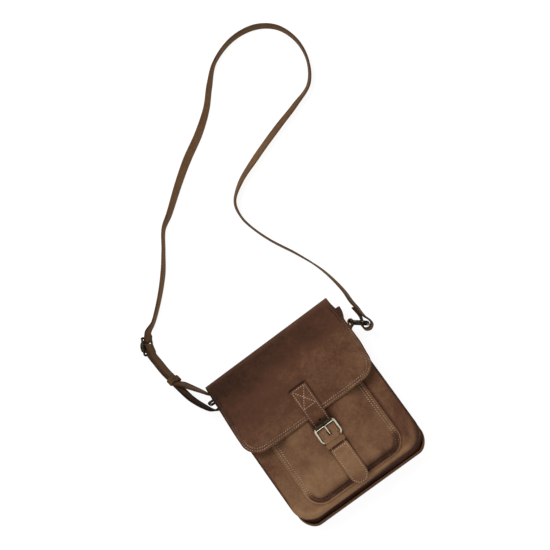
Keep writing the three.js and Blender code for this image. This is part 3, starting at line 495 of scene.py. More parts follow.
def stitches(path, normal, sizes, slant=0.3, raised=0.22):
    """Stitches along a path on a surface: one short arched thread for each pitch.

    A stitch is four six-sided rings along its length; its middle is arched off the surface by the square of the
    distance from its ends, which dip into their holes.
    """
    pitch, size, radius = sizes.stitch_pitch / MM, sizes.stitch_length / MM, sizes.thread_width / MM / 2
    far = distances(path)
    count = max(int(round(far[-1] / pitch)), 1)
    at = (np.arange(count) + 0.5) * far[-1] / count
    reads = ((path, at), (normal, at), (path, at - SEAM_STEP), (path, at + SEAM_STEP))
    centre, up, before, after = (read_off(place, far, rows) for rows, place in reads)
    up, along = unit(up), unit(after - before)
    beside = unit(np.cross(up, along))
    along = unit(along + slant * beside)
    beside = np.cross(up, along)
    rings, ring = len(STITCH_RINGS), np.arange(STITCH_SIDES)
    u = np.repeat(STITCH_RINGS, STITCH_SIDES)
    slim = np.repeat(STITCH_SLIM, STITCH_SIDES) * radius
    turn = np.tile(np.linspace(0, 2 * np.pi, STITCH_SIDES, endpoint=False), rings)
    rise = raised * (1 - STITCH_DIP * (2 * u) ** 2) + slim * np.sin(turn)
    places = (centre[:, None] + along[:, None] * (u * size)[:, None]
              + beside[:, None] * (slim * np.cos(turn))[:, None] + up[:, None] * rise[:, None])
    start = rings * STITCH_SIDES * np.arange(count)[:, None, None]
    sides = (grid_faces(rings, STITCH_SIDES, False, True) + start).reshape(-1, 4)
    ends = (np.stack([ring[::-1], (rings - 1) * STITCH_SIDES + ring]) + start).reshape(-1, STITCH_SIDES)
    return places.reshape(-1, 3), [sides, ends]


def front_face(x, y):
    """Height of the front panel: lower towards the top, by the fourth power at its sides and eased at the bottom."""
    taper = FRONT_TAPER * (y - BODY_BOTTOM) / (FRONT_TOP - BODY_BOTTOM)
    low_fall = FRONT_LOW_FALL * ease((BODY_BOTTOM - y) / FRONT_LOW_REACH + 1.0)
    return FRONT_FACE - taper - FRONT_SIDE_FALL * (x / BODY_HALF) ** 4 - low_fall


def body_outline(inset, top, corner, steps):
    """Plan outline of the body as rows x, y and outward way: down the left, round the bottom and up the right.

    `corner` is the radius of the two lower corners, and `steps` counts the steps of a side, a corner and the bottom.
    """
    edge, low, radius = BODY_HALF - inset, BODY_BOTTOM + inset, corner - inset
    y = np.linspace(top, low + radius, steps[0] + 1)
    turn = np.linspace(0, np.pi / 2, steps[1] + 1)[1:]
    x = np.linspace(radius - edge, edge - radius, steps[2] + 1)[1:-1]
    left = np.vstack([
        np.stack([0 * y - edge, y, 0 * y - 1, 0 * y], 1),
        np.stack([radius - edge - radius * np.cos(turn), low + radius - radius * np.sin(turn),
                  -np.cos(turn), -np.sin(turn)], 1),
    ])
    flat = np.stack([x, 0 * x + low, 0 * x, 0 * x - 1], 1)
    return left, flat, left[::-1] * (-1, 1, -1, 1)


def rolled_panel(top, corner, drop, face, inward, reach, wave):
    """A flat panel whose sides and bottom roll over by a quarter turn and end in a skirt.

    The roll's place is the outline drawn in by roll·(1 - sin t) and moved inward by roll·(1 - cos t); the skirt goes
    straight on, is longest at the corners and its lower edge wavers. Rows between the two sides fill the flat.
    """
    left, flat, right = body_outline(0.0, top, corner, PANEL_STEPS)
    around = np.vstack([left, flat, right])
    x, y, ox, oy = (around[:, k:k + 1] for k in range(4))
    turn = np.concatenate([np.linspace(0, np.pi / 2, ROLL_ROWS), np.full(SKIRT_ROWS, np.pi / 2)])
    run = np.concatenate([np.zeros(ROLL_ROWS), np.linspace(0, 1, SKIRT_ROWS + 1)[1:]])
    skirt = reach[0] - reach[1] * oy + reach[2] * (2 * ox * oy) ** 2
    skirt = skirt + wave * oy ** 2 * (np.sin(x / 15.0 + 0.8) + 0.6 * np.sin(x / 6.3))
    px = x - ox * PANEL_ROLL * (1 - np.sin(turn))
    py = y - oy * PANEL_ROLL * (1 - np.sin(turn))
    pz = face(px, py) + inward * (PANEL_ROLL * (1 - np.cos(turn)) + skirt * run)
    rim = np.stack([px, py - drop * oy ** 2 + 0 * px, pz], -1)
    rows, columns = len(left), len(flat) + 2
    share = np.linspace(0, 1, columns)[None, :, None]
    sheet = rim[:rows, None, 0] * (1 - share) + rim[::-1][:rows, None, 0] * share
    sheet[..., 2] = face(sheet[..., 0], sheet[..., 1])
    sheet[-1] = rim[rows - 1:rows - 1 + columns, 0]
    edge = np.concatenate([np.arange(rows) * columns, (rows - 1) * columns + np.arange(1, columns - 1),
                           np.arange(rows)[::-1] * columns + columns - 1])
    more = rim.shape[1] - 1
    number = np.hstack([edge[:, None], rows * columns + np.arange(len(around) * more).reshape(-1, more)])
    places = np.vstack([sheet.reshape(-1, 3), rim[:, 1:].reshape(-1, 3)])
    rim_faces = number.reshape(-1)[grid_faces(len(around), more + 1)]
    faces = np.vstack([grid_faces(rows, columns)[:, ::-1], rim_faces])
    return places, faces if inward < 0 else faces[:, ::-1]


def gusset_bow(bow, y, z):
    """How far the gusset bows out: a rise up its side times a rise in from its two seams."""
    out, start, end, low, high, ramp = bow
    return out * above(y, start, end - start) * between(z, low, high, ramp)


def gusset_surface():
    """The strip round the sides and bottom, outline by depth.

    Its outline goes over from the front panel's corners to the back panel's. Along the bottom it is splayed to the
    back and drawn in between the panels, and its two ends bow out or in.
    """
    front, back = (np.vstack(body_outline(GUSSET_INSET, GUSSET_TOP, corner, GUSSET_STEPS))
                   for corner in (FRONT_CORNER, BACK_CORNER))
    depth = np.linspace(0, 1, GUSSET_ROWS)[None, :]
    share = above(depth, 0.22, 0.5)
    x, y = (front[:, k:k + 1] * (1 - share) + back[:, k:k + 1] * share for k in (0, 1))
    ox, oy = front[:, 2:3], front[:, 3:4]
    high = front_face(BODY_HALF, front[:, 1:2]) - GUSSET_TUCK
    z = high + (GUSSET_TUCK - high) * depth
    bow = np.where(x < 0, gusset_bow(LEFT_BOW, y, z), gusset_bow(RIGHT_BOW, y, z))
    left, right, from_z, to_z, ramp = BOTTOM_RECESS
    recess = left - (left - right) * above(front[:, :1], 5.0, 55.0)
    recess = recess * between(z, from_z, to_z, ramp)
    deep, from_z, to_z, ramp, wide = GUSSET_CREASE
    crease = deep * between(z, from_z, to_z, ramp) * (1 + wavering(x + y, z * 1.5, wide, 0.4))
    crease = crease * below(np.where(x < 0, y + 34.0, y), 46.0, 12.0)
    splay = BACK_SPLAY * below(z, 33.0, 20.0)
    return np.stack([x + ox * (bow - crease), y - oy ** 2 * (splay - recess - crease), z], -1)


def flap_width(side, y):
    """Half width of the flap over the front on the side of that sign, before its corners are rounded.

    It is the half width at the fold and an eased gain below it, which on the right falls off again at the lower edge.
    """
    left, right, right_low = FLAP_WIDENING
    right = (right - (right - right_low) * below(y, 42.0, 28.0)) * below(y, 108.0, 25.0)
    return FLAP_FOLD_HALF + np.where(side < 0, left * below(y, 110.0, 85.0), right)


# The profile over the front, in close steps
FLAP_STATIONS = np.linspace(FLAP_FOLD, FLAP_LAST, 1601)
FLAP_RUN = smooth_route(FLAP_PROFILE, FLAP_STATIONS)


def flap_height(y):
    """Height of the flap's middle surface over the front, read off its profile."""
    return np.interp(y, FLAP_RUN[::-1, 1], FLAP_RUN[::-1, 2])


def flap_shift(x, y, z):
    """What the flap's skew and lifted corners add to y, and what its side droop takes from z, over the front."""
    skew = FLAP_SKEW * (x / FLAP_FOLD_HALF) * above(y, 40.0, 70.0) * above(z, 5.0, 15.0)
    lift = FLAP_CORNER_LIFT * above(np.abs(x), 40.0, 60.0) * below(y, 30.0, 38.0)
    return skew + lift, FLAP_DROOP * above(np.abs(x), 60.0, 45.0) * below(y, 95.0, 60.0)


def edge_distance(x, y, half, bottom, corner):
    """Distance from the outline of a sheet of that half width, round its two lower corners too.

    It is the smaller of the distances from the side and from the bottom, and near a corner the corner's radius less
    the distance from its centre.
    """
    in_x, in_y = np.abs(x) - (half - corner), bottom + corner - y
    round_corner = corner - np.hypot(np.maximum(in_x, 0), np.maximum(in_y, 0))
    return np.where((in_x > 0) & (in_y > 0), round_corner, np.minimum(half - np.abs(x), y - bottom))


def edge_spread(half, step_in):
    """Places across from 1 to -1, close together near each side and `step_in` apart between."""
    close = 1 - np.arange(0, EDGE_REACH, EDGE_STEP) / half
    middle = np.linspace(close[-1], -close[-1], int(2 * half / step_in))[1:-1]
    return np.concatenate([close, middle, -close[::-1]])


def flap_surface():
    """The flap's middle surface, and which of its points lie over the front.

    Its profile is swept across, wider below, rounded at two corners, skewed and drooped.
    """
    y_corner = FLAP_EDGE + FLAP_CORNER * (1 - np.sin(np.linspace(0, np.pi / 2, 40)))
    at_corner = np.interp(-y_corner, -FLAP_RUN[:, 1], FLAP_STATIONS)
    at = np.concatenate([np.linspace(0, FLAP_FOLD, 40)[:-1], np.linspace(FLAP_FOLD, at_corner[0], 90)[:-1], at_corner])
    line = smooth_route(FLAP_PROFILE, at)
    y, z = line[:, 1:2], line[:, 2:3]
    over = (at > FLAP_FOLD)[:, None]
    short = np.clip(FLAP_EDGE + FLAP_CORNER - y, 0, FLAP_CORNER)
    across = edge_spread(BODY_HALF, 2.2)[None, :]
    front = flap_width(across, y) - FLAP_CORNER + np.sqrt(FLAP_CORNER ** 2 - short ** 2)
    root = FLAP_ROOT_HALF + (FLAP_FOLD_HALF - FLAP_ROOT_HALF) * above(y, 113.0, 4.0)
    x = across * np.where(over, front, root)
    shift, droop = flap_shift(x, y, z)
    return np.stack([x, y + shift, z - np.where(over, droop, 0.0)], -1), np.broadcast_to(over, x.shape)


def flap_place(x, y):
    """Places and normals on the flap's outer face over the front.

    The middle surface is moved by half a wall along its normal, the cross product of its slopes across and up.
    """
    def middle(x, y):
        z = flap_height(y)
        skew, droop = flap_shift(x, y, z)
        return np.stack([x, y + skew, z - droop], -1)
    step = SURFACE_STEP
    normal = unit(np.cross(middle(x + step, y) - middle(x - step, y), middle(x, y + step) - middle(x, y - step)))
    return middle(x, y) + normal * FLAP_WALL / 2, normal


def pocket_bulge(x, y):
    """Share of the pocket's bulge: a ramp from the sides times a steep ramp from the bottom, less at the mouth."""
    side = ease((POCKET_HALF - np.abs(x) - POCKET_MARGIN) / POCKET_SIDE_RAMP)
    bottom = 1 - (1 - np.clip((y - POCKET_BOTTOM - POCKET_MARGIN) / POCKET_LOW_RAMP, 0, 1)) ** POCKET_LOW_POWER
    return side * bottom * (1 - POCKET_MOUTH_FALL * above(y, -10.0, 25.0))


def pocket_height(x, y):
    """Height of the pocket's outer face over the floor: the front's, a gap, its own wall and its bulge."""
    return front_face(x, y) + GAP + POCKET_WALL + POCKET_BULGE * pocket_bulge(x, y)


# Height of the pocket under the buckle's heel bar
SEAT = float(pocket_height(0.0, HEEL_Y))


def closure_route():
    """Points of the closure strap's middle line, first on the flap and then free over the pocket."""
    off = FLAP_WALL / 2 + STRAP_OFF_FLAP + STRAP_WALL / 2
    on_flap = [(0, y, float(flap_height(y)) + off) for y in STRAP_ON_FLAP]
    return np.array(on_flap + [(0, y, SEAT + lift) for y, lift in STRAP_FREE])


def closure_half(y):
    """Half width of the closure strap: full, and over its tip falling as the root of 1 less a power of the way."""
    along = np.clip((STRAP_FREE[-1, 0] + STRAP_TIP - y) / STRAP_TIP, 0, 1)
    return np.maximum(STRAP_HALF * np.sqrt(1 - along ** STRAP_TIP_POWER), STRAP_TIP_HALF)


def leaning(along, lean):
    """The way across a strap, from its lower edge to its upper.

    It goes left of the strap's way by the cosine of its lean, and up by the sine.
    """
    lean = np.radians(lean)
    return np.stack([-along[:, 1] * np.cos(lean), along[:, 0] * np.cos(lean), np.sin(lean)], 1)


def middle_height(rise, lean):
    """Height of a leaning strap's middle line.

    It is the floor gap, the rise of the lower edge, half the width by the lean's sine and half the wall by its
    cosine.
    """
    lean = np.radians(lean)
    return rise + SHOULDER_WIDTH / 2 * np.sin(lean) + SHOULDER_WALL / 2 * np.cos(lean) + FLOOR_GAP


def laid(rows, off=0.0):
    """Stations of a strap laid by its rows: its middle, moved off its face by `off`, and the way across it.

    The way along it at a row goes from the row before to the row after.
    """
    rows = np.array(rows, float)
    ahead = np.vstack([rows[1:], rows[-1:]]) - np.vstack([rows[:1], rows[:-1]])
    along = unit(np.hstack([ahead[:, :2], np.zeros((len(rows), 1))]))
    across = leaning(along, rows[:, 3])
    place = np.stack([rows[:, 0], rows[:, 1], middle_height(rows[:, 2], rows[:, 3])], 1)
    return place + off * np.cross(along, across), across


def slider_axes():
    """The slider's middle and its three ways: along the strap, across it and off its face."""
    along = np.array([np.cos(SLIDER_AIM), np.sin(SLIDER_AIM), 0.0])
    across = leaning(along[None], np.array([SLIDER_LEAN]))[0]
    rise = SLIDER_RISE + (SLIDER_WIDTH - SHOULDER_WIDTH) / 2
    return np.array([*SLIDER_PLACE, middle_height(rise, SLIDER_LEAN)]), along, across, np.cross(along, across)


def through_slider(rows):
    """Stations of a strand in the slider: its middle, moved along it and off its face by each row."""
    middle, along, across, face = slider_axes()
    rows = np.array(rows, float)
    return middle + rows[:, :1] * along + rows[:, 1:] * face, np.tile(across, (len(rows), 1))


def strap_line(stations, step=1.5):
    """A strap's middle line, its way across and its face, at even steps along its stations.

    The middle follows the stations' smooth route, the way across is mixed between them and squared to it, and the
    strap is raised where its lower edge would sink below the floor gap.
    """
    places, across = (np.vstack(part) for part in zip(*stations))
    at = even_steps(places, step)
    line = smooth_route(places, at)
    along = unit(smooth_route(places, at + ROUTE_STEP) - smooth_route(places, at - ROUTE_STEP))
    lean = read_off(at, np.arange(len(across)), across)
    lean = unit(lean - along * (lean * along).sum(1, keepdims=True))
    foot = line[:, 2] - (SHOULDER_WIDTH * lean[:, 2] + SHOULDER_WALL * np.sqrt(np.maximum(1 - lean[:, 2] ** 2, 0))) / 2
    line[:, 2] += np.maximum(0, FLOOR_GAP - foot)
    return line, lean, np.cross(along, lean)


def add_node(tree, kind, inputs=(), **settings):
    """Adds a shader node, sets its properties and either links or sets each of its sockets.

    Sockets go by name or number. Map Range has its value at 0, its range at 1 and 2 and the new range at 3 and 4;
    a colour Mix has its share at 0 and its two colours at 6 and 7.
    """
    made = tree.nodes.new(kind)
    for key, value in settings.items():
        setattr(made, key, value)
    for key, value in dict(inputs).items():
        if isinstance(value, bpy.types.NodeSocket):
            tree.links.new(value, made.inputs[key])
        else:
            made.inputs[key].default_value = value
    return made


def opaque(rgb):
    """A colour with full alpha."""
    return (*rgb, 1.0)


def new_material(name):
    """An empty node material and its tree."""
    made = bpy.data.materials.new(name)
    made.use_nodes = True
    made.node_tree.nodes.clear()
    return made, made.node_tree


def oiled_leather(name, deep, body, pulled, rough, sizes, colours):
    """Oiled pull-up cowhide, tumbled and waxed.

    The oil moves as the hide bends, so the eye sees soft dark clouds, paler places where it is stretched, small
    scuffs and a low pebbled grain. Its face is dull, with only a trace of wax.
    """
    made, tree = new_material(name)
    place = add_node(tree, "ShaderNodeTexCoord").outputs["Object"]
    side = add_node(tree, "ShaderNodeAttribute", attribute_name="side").outputs["Fac"]
    level = add_node(tree, "ShaderNodeAttribute", attribute_name="tone").outputs["Fac"]
    # Width, detail, roughness and distortion of each pattern, and how far it moves the tone either way
    patterns = {
        "clouds": (sizes.cloud_size, 3.0, 0.55, 0.7, 0.16),
        "scuffs": (sizes.scuff_size, 5.0, 0.62, 0.4, 0.1),
        "creases": (CREASE_SIZE, 4.0, 0.6, 1.2, 0.12),
    }
    noises = {}
    for key, (width, detail, uneven, twisted, swing) in patterns.items():
        noises[key] = add_node(tree, "ShaderNodeTexNoise", {
            "Vector": place, "Scale": 1.0 / width, "Detail": detail, "Roughness": uneven,
            "Distortion": twisted}).outputs["Fac"]
        moved = add_node(tree, "ShaderNodeMapRange", {0: noises[key], 1: 0.3, 2: 0.7, 3: -swing, 4: swing})
        level = add_node(tree, "ShaderNodeMath", {0: moved.outputs[0], 1: level}, operation="ADD").outputs[0]
    # Below 0 the tone goes from the body's colour to the deep one, above 0 to the pulled one; the tone carries painted
    # shade and painted highlights too
    down = add_node(tree, "ShaderNodeMapRange", {0: level, 1: -1.0, 2: 0.0, 3: 0.0, 4: 1.0})
    up = add_node(tree, "ShaderNodeMapRange", {0: level, 1: 0.0, 2: 1.0, 3: 0.0, 4: 1.0})
    low = add_node(tree, "ShaderNodeMix", {0: down.outputs[0], 6: opaque(deep), 7: opaque(body)}, data_type="RGBA")
    hide = add_node(tree, "ShaderNodeMix", {0: up.outputs[0], 6: low.outputs[2], 7: opaque(pulled)}, data_type="RGBA")
    # The cut edge and the flesh side show where the side attribute nears 0.5 and 1
    at_cut = add_node(tree, "ShaderNodeMapRange", {0: side, 1: 0.2, 2: 0.5, 3: 0.0, 4: 1.0})
    edged = add_node(tree, "ShaderNodeMix", {
        0: at_cut.outputs[0], 6: hide.outputs[2], 7: opaque(colours.cut_edge)}, data_type="RGBA")
    at_flesh = add_node(tree, "ShaderNodeMapRange", {0: side, 1: 0.7, 2: 0.95, 3: 0.0, 4: 1.0})
    lined = add_node(tree, "ShaderNodeMix", {
        0: at_flesh.outputs[0], 6: edged.outputs[2], 7: opaque(colours.flesh_side)}, data_type="RGBA")
    # The real pebble is about 0.6 mm and would not show, so the grain is drawn about three times as coarse
    pebble = add_node(tree, "ShaderNodeTexVoronoi", {
        "Vector": place, "Scale": 1.0 / sizes.grain_size, "Randomness": 1.0}, feature="SMOOTH_F1")
    relief = add_node(tree, "ShaderNodeMath", {
        0: noises["creases"], 1: 1.6, 2: pebble.outputs["Distance"]}, operation="MULTIPLY_ADD")
    bump = add_node(tree, "ShaderNodeBump", {"Strength": 0.7, "Distance": 0.00035, "Height": relief.outputs[0]})
    dull = add_node(tree, "ShaderNodeMapRange", {0: noises["scuffs"], 1: 0.3, 2: 0.7, 3: rough - 0.07, 4: rough + 0.1})
    shader = add_node(tree, "ShaderNodeBsdfPrincipled", {
        "Base Color": lined.outputs[2], "Roughness": dull.outputs[0], "Normal": bump.outputs[0],
        "Specular IOR Level": 0.012})
    add_node(tree, "ShaderNodeOutputMaterial", {"Surface": shader.outputs[0]})
    return made


def waxed_thread(name, colours):
    """Waxed linen thread, twisted: pale, dulled by handling in places, with a soft wax shine."""
    made, tree = new_material(name)
    place = add_node(tree, "ShaderNodeTexCoord").outputs["Object"]
    worn = add_node(tree, "ShaderNodeTexNoise", {"Vector": place, "Scale": 1.0 / WEAR_SIZE, "Detail": 4.0})
    tone = add_node(tree, "ShaderNodeAttribute", attribute_name="tone").outputs["Fac"]
    patchy = add_node(tree, "ShaderNodeMapRange", {0: worn.outputs["Fac"], 1: 0.32, 2: 0.68, 3: 0.55, 4: 1.0})
    # The tone darkens the thread towards the deep colour, also where stitches are painted in shade
    share = add_node(tree, "ShaderNodeMath", {0: patchy.outputs[0], 1: tone}, operation="ADD", use_clamp=True)
    tint = add_node(tree, "ShaderNodeMix", {
        0: share.outputs[0], 6: opaque(colours.deep_leather_and_shade), 7: opaque(colours.thread)}, data_type="RGBA")
    # The strands are about 0.25 mm wide and would not show, so their twist is drawn coarser
    twist = add_node(tree, "ShaderNodeTexWave", {"Vector": place, "Scale": 1.0 / TWIST_SIZE, "Distortion": 1.0},
                     bands_direction="DIAGONAL")
    bump = add_node(tree, "ShaderNodeBump", {"Strength": 0.4, "Distance": 0.0001, "Height": twist.outputs["Fac"]})
    shader = add_node(tree, "ShaderNodeBsdfPrincipled", {
        "Base Color": tint.outputs[2], "Roughness": 0.55, "Normal": bump.outputs[0], "Specular IOR Level": 0.25})
    add_node(tree, "ShaderNodeOutputMaterial", {"Surface": shader.outputs[0]})
    return made


def antiqued_brass(name, colours):
    """Cast brass, chemically darkened and rubbed back: bright where hands rub it, brown-black in its hollows."""
    made, tree = new_material(name)
    place = add_node(tree, "ShaderNodeTexCoord").outputs["Object"]
    tone = add_node(tree, "ShaderNodeAttribute", attribute_name="tone").outputs["Fac"]
    spots = add_node(tree, "ShaderNodeTexNoise", {
        "Vector": place, "Scale": 1.0 / SPOT_SIZE, "Detail": 5.0, "Roughness": 0.6})
    patchy = add_node(tree, "ShaderNodeMapRange", {0: spots.outputs["Fac"], 1: 0.3, 2: 0.7, 3: -0.3, 4: 0.3})
    level = add_node(tree, "ShaderNodeMath", {0: patchy.outputs[0], 1: tone}, operation="ADD")
    # The tone brings rubbed brass, and on the buckle's front bar a painted highlight along its inner edge
    rubbed = add_node(tree, "ShaderNodeMapRange", {0: level.outputs[0], 1: -0.5, 2: 0.5, 3: 0.0, 4: 1.0})
    tint = add_node(tree, "ShaderNodeMix", {
        0: rubbed.outputs[0], 6: opaque(colours.patina), 7: opaque(colours.brass)}, data_type="RGBA")
    dull = add_node(tree, "ShaderNodeMapRange", {0: rubbed.outputs[0], 1: 0.0, 2: 1.0, 3: 0.46, 4: 0.26})
    bump = add_node(tree, "ShaderNodeBump", {"Strength": 0.25, "Distance": 0.00015, "Height": spots.outputs["Fac"]})
    shader = add_node(tree, "ShaderNodeBsdfPrincipled", {
        "Base Color": tint.outputs[2], "Metallic": 1.0, "Roughness": dull.outputs[0], "Normal": bump.outputs[0]})
    add_node(tree, "ShaderNodeOutputMaterial", {"Surface": shader.outputs[0]})
    return made


def matt_paper(name, colours):
    """Matt paper sweep: an even pale floor that shows only a faint fibre and glows a little, as if lit from below."""
    made, tree = new_material(name)
    place = add_node(tree, "ShaderNodeTexCoord").outputs["Object"]
    fibre = add_node(tree, "ShaderNodeTexNoise", {"Vector": place, "Scale": 1.0 / FIBRE_SIZE, "Detail": 3.0})
    bump = add_node(tree, "ShaderNodeBump", {"Strength": 0.03, "Distance": 0.0002, "Height": fibre.outputs["Fac"]})
    shader = add_node(tree, "ShaderNodeBsdfPrincipled", {
        "Base Color": opaque(0.22 * np.array(colours.floor)), "Roughness": 0.9, "Normal": bump.outputs[0],
        "Specular IOR Level": 0.05, "Emission Color": opaque(colours.floor), "Emission Strength": 0.9})
    add_node(tree, "ShaderNodeOutputMaterial", {"Surface": shader.outputs[0]})
    return made


def finish(look, scene):
    """The material of a look, made when it is first asked for."""
    sizes, colours = scene.bag_sizes, scene.bag_colours
    name, _ = MATERIALS[look]
    if name in bpy.data.materials:
        return bpy.data.materials[name]
    # Deep, body and pulled colour of each leather, and its roughness
    hides = {
        "brown": (colours.deep_leather_and_shade, colours.leather_body, colours.pulled_leather_and_highlight, 0.5),
        "dark": (0.5 * np.array(colours.gusset), colours.gusset, colours.leather_body, 0.58),
        "shoulder": (colours.deep_leather_and_shade, colours.shoulder, colours.pulled_leather_and_highlight, 0.48),
    }
    if look in hides:
        return oiled_leather(name, *hides[look], sizes, colours)
    return {"thread": waxed_thread, "brass": antiqued_brass, "paper": matt_paper}[look](name, colours)


def add_piece(scene, name, shape, look, stands_for=(), tone=0.0, side=0.0):
    """Writes places in millimetres and faces to a smooth mesh, which rides on the bag and may stand for solids."""
    places, faces = shape
    mesh = bpy.data.meshes.new(name)
    mesh.from_pydata((places * MM).tolist(), [], [face for some in faces for face in some.tolist()])
    mesh.polygons.foreach_set("use_smooth", np.ones(len(mesh.polygons), bool))
    for key, given in (("tone", tone), ("side", side)):
        values = np.broadcast_to(np.asarray(given, np.float32), len(mesh.vertices))
        mesh.attributes.new(key, "FLOAT", "POINT").data.foreach_set("value", np.ascontiguousarray(values))
    mesh.materials.append(finish(look, scene))
    made = bpy.data.objects.new(name, mesh)
    scene.collection.objects.link(made)
    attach(made, "root")
    if stands_for:
        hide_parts(*stands_for)
    return made


def add_leather(scene, name, outer, faces, wall, look, node, tone):
    """A leather wall below an outer surface, as one piece; tone is given for the outer vertices."""
    places, every, side, source = leather_wall(outer, faces, wall, scene.bag_sizes.edge_round / MM)
    tone = np.broadcast_to(tone, len(outer))[source]
    return add_piece(scene, name, (places, [every]), look, (node,), tone, side)


def grooves(distance, rows, sizes):
    """Depth of the grooves that rows of stitches press in: a narrow bell about each row."""
    return sizes.groove_depth / MM * sum(bell((distance - row) / GROOVE_HALF) for row in rows)


class BAG_OT_stage(bpy.types.Operator):
    """Sets up the camera, a pale paper floor and soft studio light"""
    bl_idname = "bag.stage"
    bl_label = "Stage"

    def execute(self, context):
        scene = context.scene
        data = bpy.data.cameras.new("Camera")
        data.lens, data.sensor_width, data.clip_end = CAMERA_LENS, CAMERA_SENSOR, CAMERA_FAR
        data.dof.use_dof = False
        camera = bpy.data.objects.new("Camera", data)
        turned = Matrix((CAMERA_RIGHT, CAMERA_UP, CAMERA_BACK)).transposed().to_4x4()
        camera.matrix_world = Matrix.Translation(Vector(CAMERA_PLACE) * MM) @ turned
        scene.collection.objects.link(camera)
        scene.camera = camera
        floor = bpy.data.meshes.new("Floor")
        corners = [(x * FLOOR_HALF, y * FLOOR_HALF, FLOOR_LEVEL) for x, y in ((-1, -1), (1, -1), (1, 1), (-1, 1))]
        floor.from_pydata(corners, [], [(0, 1, 2, 3)])
        floor.materials.append(finish("paper", scene))
        sweep = bpy.data.objects.new("Floor", floor)
        scene.collection.objects.link(sweep)
        for name, place, aim, size, power in LAMPS:
            lamp = bpy.data.lights.new(name, "AREA")
            lamp.shape, lamp.size, lamp.energy = "DISK", size, power
            held = bpy.data.objects.new(name, lamp)
            way = Vector(aim) - Vector(place)
            held.matrix_world = Matrix.Translation(place) @ way.to_track_quat("-Z", "Y").to_matrix().to_4x4()
            scene.collection.objects.link(held)
        world = bpy.data.worlds.new("Studio")
        world.use_nodes = True
        sky = world.node_tree.nodes["Background"].inputs
        sky["Color"].default_value = (1.0, 1.0, 1.0, 1.0)
        sky["Strength"].default_value = SKY_STRENGTH
        scene.world = world
        scene.view_settings.view_transform = "Standard"
        return {"FINISHED"}


class BAG_OT_strap_fittings(bpy.types.Operator):
    """Makes the shoulder strap's brass slider and its leather keeper"""
    bl_idname = "bag.strap_fittings"
    bl_label = "Strap fittings"

    def execute(self, context):
        scene = context.scene
        middle, along, across, face = slider_axes()
        bar = SLIDER_BAR / 2
        loop = rounded_loop(SLIDER_LENGTH - SLIDER_BAR, SLIDER_WIDTH - SLIDER_BAR, SLIDER_CORNER)
        outside = bar_loop(loop, middle, along, across, bar, SLIDER_PLATE / 2, square=SQUARE_CAST)
        reach = np.linspace(-1, 1, 12)[:, None] * (SLIDER_WIDTH / 2 - bar)
        section = round_section((SLIDER_MIDDLE / 2, SLIDER_PLATE / 2), square=SQUARE_CAST)
        cross_bar = carried(section, middle + reach * across, np.tile(face, (12, 1)), np.tile(along, (12, 1)))
        add_piece(scene, "slider_brass", joined(outside, cross_bar), "brass", ("strap_slider",), tone=-0.6)
        (low, lean), (high, _) = laid(DOUBLED), laid(DOUBLED, STRAND_STEP)
        way = unit(low[2] - low[0])
        off = unit(np.cross(way, lean[1]))
        wall, band, wide, deep, corner = STRAP_KEEPER
        loop = rounded_loop(wide + wall, deep + wall, corner)
        keeper = bar_loop(loop, (low[1] + high[1]) / 2, np.cross(off, way), off, wall / 2, band / 2, SQUARE_BAND, 20)
        add_piece(scene, "strap_keeper_leather", keeper, "shoulder", ("strap_keeper",), tone=-0.5)
        return {"FINISHED"}


class BAG_OT_shoulder_strap(bpy.types.Operator):
    """Makes the long shoulder strap and its doubled strand"""
    bl_idname = "bag.shoulder_strap"
    bl_label = "Shoulder strap"

    def execute(self, context):
        scene = context.scene
        section = flat_section(SHOULDER_WIDTH, SHOULDER_WALL, SHOULDER_CORNER)
        at_rim = np.abs(section[:, 0]) > SHOULDER_RIM
        strands = {
            "shoulder_strap": [laid(LEFT_LOWER), through_slider(THREADED), laid(LONG_RUN + RIGHT_END)],
            "strap_return": [tuple(part[:-1] for part in laid(LEFT_UPPER + DOUBLED[:1])),
                             laid(DOUBLED, STRAND_STEP), through_slider(SEWN)],
        }
        for node, stations in strands.items():
            line, across, face = strap_line(stations)
            far = distances(line)
            # Both ends and the doubled strand are darker, in part painted shade where strands lie in shadow by the
            # rings; the rims and the top of the long loop are a little darker too
            if node == "shoulder_strap":
                oiled = 0.95 * below(far, 95.0, 50.0) + 0.4 * below(far, 210.0, 40.0) * above(far, 45.0, 50.0)
                oiled = oiled + 0.5 * above(far - far[-1], -150.0, 90.0)
                rim = 0.2 + 0.25 * below(far, 260.0, 40.0)
            else:
                oiled, rim = 0.5 + 0 * far, 0.325 + 0 * far
            oiled = oiled + 0.2 * above(line[:, 0], 140.0, 40.0) * above(line[:, 1], 330.0, 40.0)
            tone = (0.1 * np.sin(far / 61.0) - oiled)[:, None] - rim[:, None] * at_rim
            shape = carried(section, line, across, face)
            made = add_piece(scene, node + "_leather", shape, "shoulder", (node,), tone.reshape(-1))
        return {"FINISHED"}


